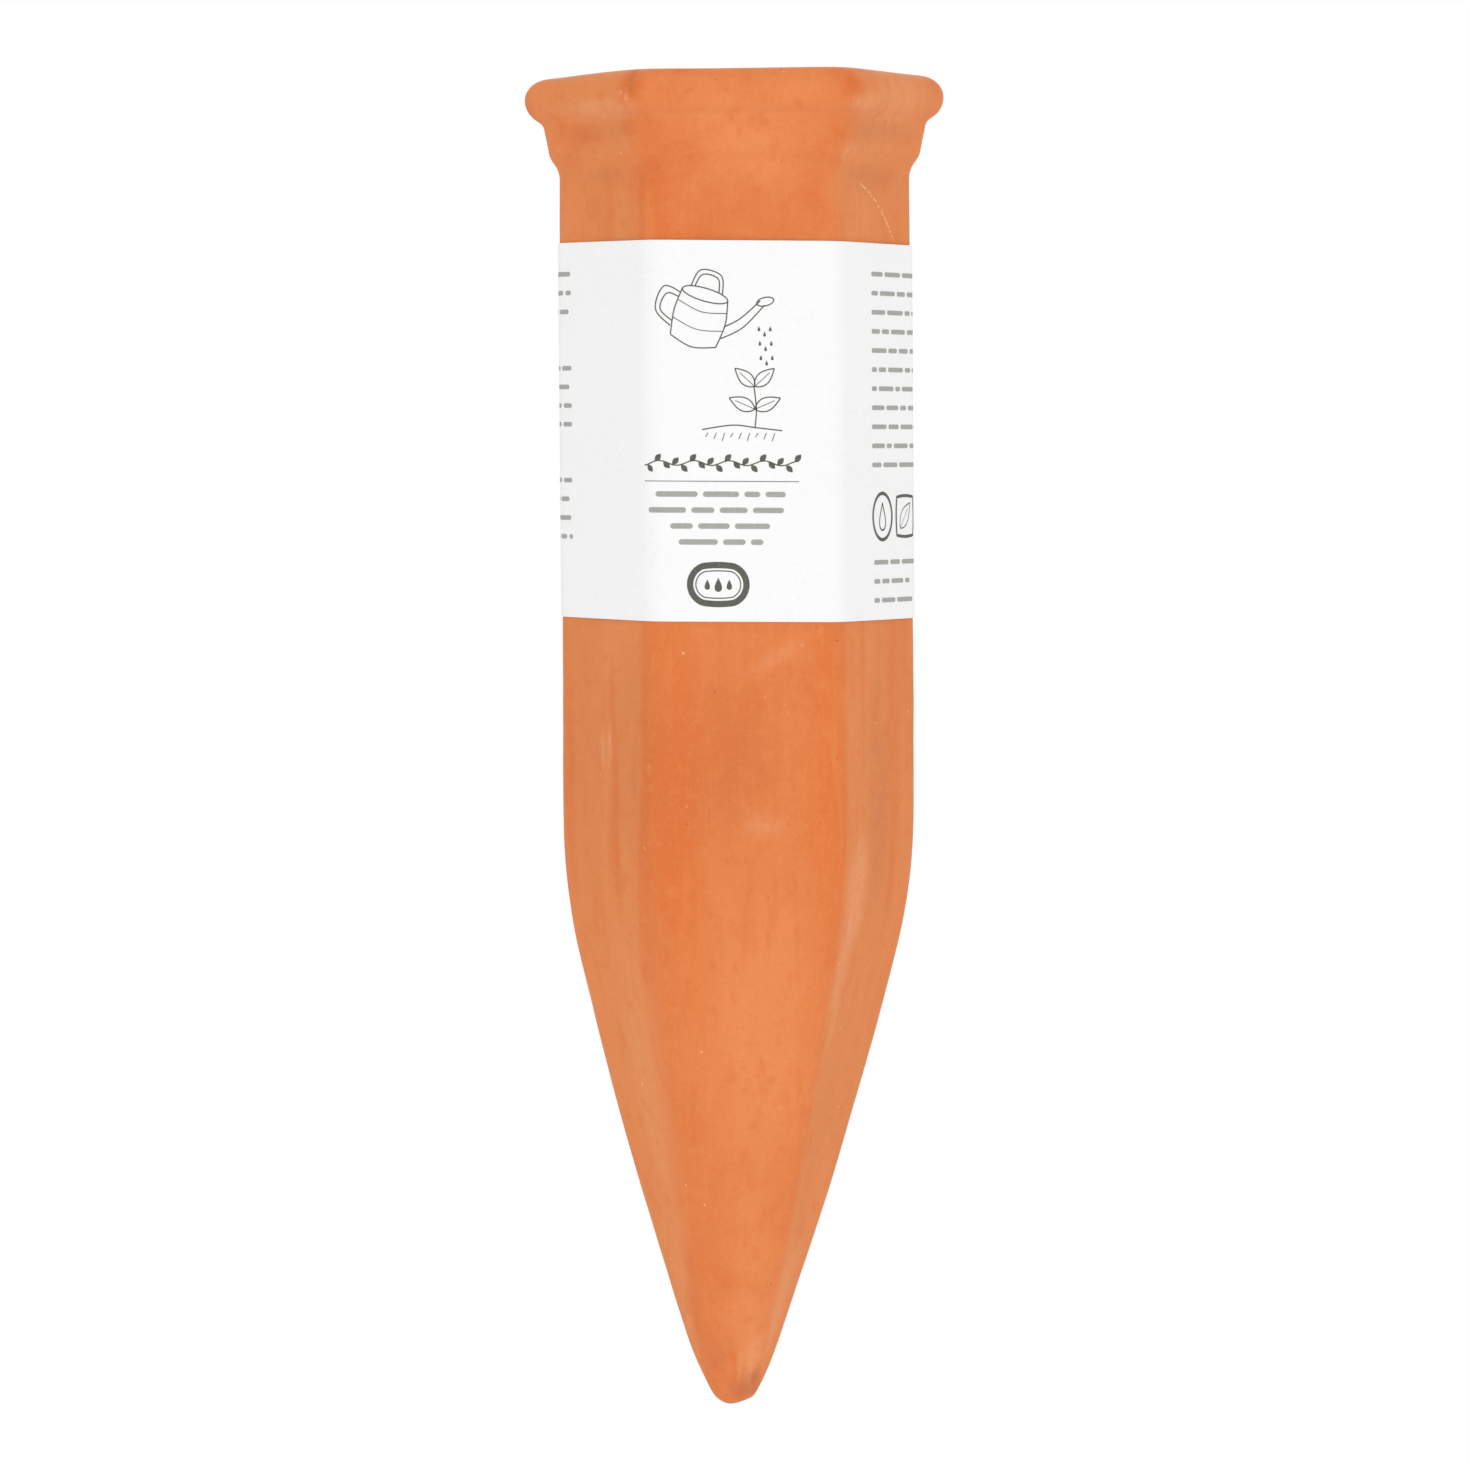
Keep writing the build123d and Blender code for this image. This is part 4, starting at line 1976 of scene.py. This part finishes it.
    def stem(self, s: Array) -> Array:
        """Places on the garland's stem: a sine that makes its quarter turns each side of its middle."""
        turn = s / self.half_width * self.garland_turns * pi / 2
        return np.column_stack([self.centre + s, self.garland_height + self.garland_wave * np.sin(turn)])

    def garland(self) -> None:
        """Draws a wavy stem with its leaves, and the rule under it.

        A leaf starts at the middle of each equal part of the stem, by turns below and above it.
        """
        half = self.half_width
        self.dark_marks.stroke(self.stem(np.linspace(-half, half, self.garland_samples)), self.pen)
        count = 2 * self.garland_turns
        for index, foot in enumerate(self.stem(half * ((2 * np.arange(count) + 1) / count - 1))):
            tip = foot + np.array(self.sprig_reach) * (1, 1 if index % 2 else -1)
            upper, _, lower = self.leaf_lines(foot, tip, self.sprig_samples, self.sprig_fullness)
            self.dark_marks.filled(np.vstack([upper, lower[::-1][1:]]))
        rule = np.array([(self.centre + end, self.rule_height) for end in (-half, half)])
        self.dark_marks.stroke(rule, self.rule_width)

    def badge(self) -> None:
        """Draws the badge: a thick oblong ring, a thin one inside it, and a row of three drops.

        A ring is a circle whose halves are moved apart by the difference of its half axes. The
        move follows the cosine of the angle, cut off at 1, so its long sides are straight.
        """
        s, h = self.centre + self.badge_middle[0], self.badge_middle[1]
        angle = np.linspace(0, 2 * pi, self.badge_samples)
        apart = np.clip(self.badge_squareness * np.cos(angle), -1.0, 1.0)
        for half_s, half_h, width in self.badge_rings:
            across = half_h * np.cos(angle) + (half_s - half_h) * apart
            self.dark_marks.loop(np.column_stack([s + across, h + half_h * np.sin(angle)]), width)
        for offset, size in self.badge_drops:
            self.dark_marks.filled(self.drop(s + offset, h, size))

    def icons(self) -> None:
        """Draws two plain icons on the right face: a drop in a ring and a leaf in a square.

        The square is a circle over the larger of its cosine and sine, raised to its sharpness.
        """
        self.dark_marks.loop(self.ring.line(), self.ring_width)
        size, width = self.ring_drop
        self.dark_marks.loop(self.drop(self.ring.s, self.ring.h, size), width)
        angle = np.linspace(0, 2 * pi, self.square_samples)
        circle = np.column_stack([np.cos(angle), np.sin(angle)])
        square = circle / np.abs(circle).max(axis=1, keepdims=True) ** self.square_sharpness
        self.dark_marks.loop(square * self.square_half + np.array(self.square_middle), self.square_width)
        self.leaf(*self.square_leaf)

    def small_lines(self) -> None:
        """Draws the greeked lines, as bars with the lengths and gaps of words.

        A word's length is drawn at random, and the last word ends where the line does. No word
        begins so near to that end that it would be too short.
        """
        draw = np.random.default_rng(self.seed)
        for block in self.paragraphs:
            for index, length in enumerate(block.lengths):
                start = self.centre - length / 2 if block.s is None else block.s
                h = block.h - block.drop * index
                walked = 0.0
                while walked < length - self.least_word * block.bar:
                    word = min(draw.uniform(*self.word_lengths) * block.bar, length - walked)
                    ends = np.array([[start + walked, h], [start + walked + word, h]])
                    self.grey_marks.stroke(ends, block.bar)
                    walked += word + self.word_gap * block.bar

    def build(self) -> list[Object]:
        """Lays the whole print on the band.

        Returns:
            The dark piece and the grey piece.
        """
        self.watering_can()
        self.seedling()
        self.garland()
        self.badge()
        self.icons()
        self.small_lines()
        return [
            self.dark_marks.lay("band_print_dark", self.dark, self.lift),
            self.grey_marks.lay("band_print_grey", self.grey, self.lift),
        ]


@dataclass
class LapGlue:
    """Glue film inside the band's lap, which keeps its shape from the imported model."""

    finish: GlueFinish = field(default_factory=GlueFinish)

    def build(self) -> Object:
        """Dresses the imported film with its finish.

        Returns:
            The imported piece.
        """
        piece = frame["nodes"]["sleeve_glue"]
        piece.data.materials.clear()
        piece.data.materials.append(self.finish.material())
        log.info("lap glue dressed")
        return piece


@dataclass
class PhotoCamera:
    """Camera at the photograph's view: nearly level, a little left of the front, slightly rolled."""

    distance: float = 0.880
    height: float = 0.134
    side_step: float = -0.53 * MM
    azimuth: float = -3.0
    pitch: float = 2.80
    roll: float = -0.43
    lens: float = 159.4
    sensor_width: float = 36.0
    clip_start: float = 0.01
    clip_end: float = 50.0

    def build(self) -> Object:
        """Makes the camera and makes it the scene's own.

        It stands at its distance on the azimuth, a step to the side and at its height, and is
        turned by the azimuth, then tilted down by the pitch, then rolled.

        Returns:
            The camera.
        """
        data = bpy.data.cameras.new("photo_camera")
        data.lens = self.lens
        data.sensor_width = self.sensor_width
        data.clip_start = self.clip_start
        data.clip_end = self.clip_end
        camera = bpy.data.objects.new("photo_camera", data)
        bpy.context.scene.collection.objects.link(camera)
        around = radians(self.azimuth)
        right = Vector((cos(around), sin(around), 0.0))
        back = Vector((sin(around), -cos(around), 0.0))
        turn = Matrix.Rotation(around, 4, "Z")
        tilt = Matrix.Rotation(radians(90.0 - self.pitch), 4, "X")
        lean = Matrix.Rotation(radians(self.roll), 4, "Z")
        place = back * self.distance + right * self.side_step + Vector((0.0, 0.0, self.height))
        camera.matrix_world = Matrix.Translation(place) @ turn @ tilt @ lean
        bpy.context.scene.camera = camera
        return camera


@dataclass(frozen=True)
class SoftBox:
    """Square lamp: its name, where it stands, its side in metres and its power in watts."""

    name: str
    place: Triple
    size: float
    power: float

    def build(self, target: Triple) -> Object:
        """Makes the lamp.

        Args:
            target: The place that it faces.

        Returns:
            The lamp.
        """
        data = bpy.data.lights.new(self.name, "AREA")
        data.shape = "SQUARE"
        data.size = self.size
        data.energy = self.power
        lamp = bpy.data.objects.new(self.name, data)
        bpy.context.scene.collection.objects.link(lamp)
        lamp.location = self.place
        lamp.rotation_euler = (Vector(target) - Vector(self.place)).to_track_quat("-Z", "Y").to_euler()
        return lamp


@dataclass
class Studio:
    """Plain pale floor and soft, even light, under a white surround."""

    surround: float = 0.695
    floor_height: float = -0.075
    floor_size: float = 6.0
    floor_points: int = 3
    floor_grey: Colour = (0.9, 0.9, 0.9, 1.0)
    floor_roughness: float = 0.9
    floor_glow: float = 0.12
    # Where the floor fades to white, in metres from its middle, and its white share before that
    floor_fade: Pair = (0.12, 0.30)
    floor_white: float = 0.65
    spike_middle: Triple = (0.0, 0.0, 0.09)
    lamps: tuple[SoftBox, ...] = (
        SoftBox("front_box", (0.05, -1.30, 0.42), 0.9, 3.02),
        SoftBox("top_box", (0.0, -0.25, 1.25), 1.0, 1.52),
        SoftBox("back_box", (0.05, 1.30, 0.42), 0.9, 2.10),
        SoftBox("left_box", (-1.2, -0.5, 0.30), 0.9, 1.13),
        SoftBox("right_box", (1.2, -0.5, 0.30), 0.9, 1.13),
    )

    def world(self) -> None:
        """Makes the surround: white to the camera and through glass, and softer as light."""
        world = bpy.data.worlds.new("white_surround")
        world.use_nodes = True
        tree = world.node_tree
        background = next(node for node in tree.nodes if node.type == "BACKGROUND")
        path = tree.nodes.new("ShaderNodeLightPath")
        seen = tree.nodes.new("ShaderNodeMath")
        seen.operation = "MAXIMUM"
        tree.links.new(path.outputs["Is Camera Ray"], seen.inputs[0])
        tree.links.new(path.outputs["Is Transmission Ray"], seen.inputs[1])
        level = tree.nodes.new("ShaderNodeMapRange")
        level.inputs["To Min"].default_value = self.surround
        level.inputs["To Max"].default_value = 1.0
        tree.links.new(seen.outputs[0], level.inputs["Value"])
        background.inputs["Color"].default_value = WHITE
        tree.links.new(level.outputs["Result"], background.inputs["Strength"])
        bpy.context.scene.world = world

    def floor_finish(self) -> bpy.types.Material:
        """Builds the floor's material: the camera sees plain white mixed in, all of it further out.

        Returns:
            The material.
        """
        recipe = Recipe("studio_floor")
        reach = recipe.add("VectorMath", {0: recipe.place((1.0, 1.0, 0.0))}, operation="LENGTH")
        far = Flow(recipe, reach.outputs["Value"]).window(*self.floor_fade)
        seen = Flow(recipe, recipe.add("LightPath", {}).outputs["Is Camera Ray"])
        lit = Flow(recipe, recipe.shader.outputs["BSDF"])
        glow = Flow(recipe, recipe.add("Emission", {"Color": WHITE}).outputs["Emission"])
        share = seen * recipe.between(far, self.floor_white, 1.0)
        mix = recipe.add("MixShader", {0: share, 1: lit, 2: glow})
        recipe.feed(recipe.output.inputs["Surface"], Flow(recipe, mix.outputs[0]))
        return recipe.finish(
            base_color=self.floor_grey,
            roughness=self.floor_roughness,
            emission_color=WHITE,
            emission_strength=self.floor_glow,
        )

    def floor(self) -> Object:
        """Makes the floor, a level square of a few points.

        Returns:
            The floor.
        """
        line = np.linspace(-self.floor_size / 2, self.floor_size / 2, self.floor_points)
        x, y = np.meshgrid(line, line)
        places = np.stack([x.ravel(), y.ravel(), np.full(x.size, self.floor_height)], axis=-1)
        quads = grid_quads(self.floor_points, self.floor_points, wraps=False)
        floor = make_piece("studio_floor", places, [quads], is_smooth=False)
        floor.data.materials.append(self.floor_finish())
        return floor

    def build(self) -> None:
        """Makes the surround, the floor and the lamps."""
        self.world()
        self.floor()
        for lamp in self.lamps:
            lamp.build(self.spike_middle)
        bpy.context.scene.view_settings.view_transform = "Standard"


def main() -> None:
    """Builds every piece in order."""
    logging.basicConfig(level=logging.INFO, format="%(name)s: %(message)s")
    PhotoCamera().build()
    Studio().build()
    clay_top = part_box("terracotta_body")[1][2]
    band_low, band_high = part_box("paper_sleeve")
    ClayBody(total=clay_top).build()
    band = PaperBand(bottom=band_low[2], height=band_high[2] - band_low[2])
    band.build()
    BandPrint(band).build()
    LapGlue().build()


if __name__ == "__main__":
    main()
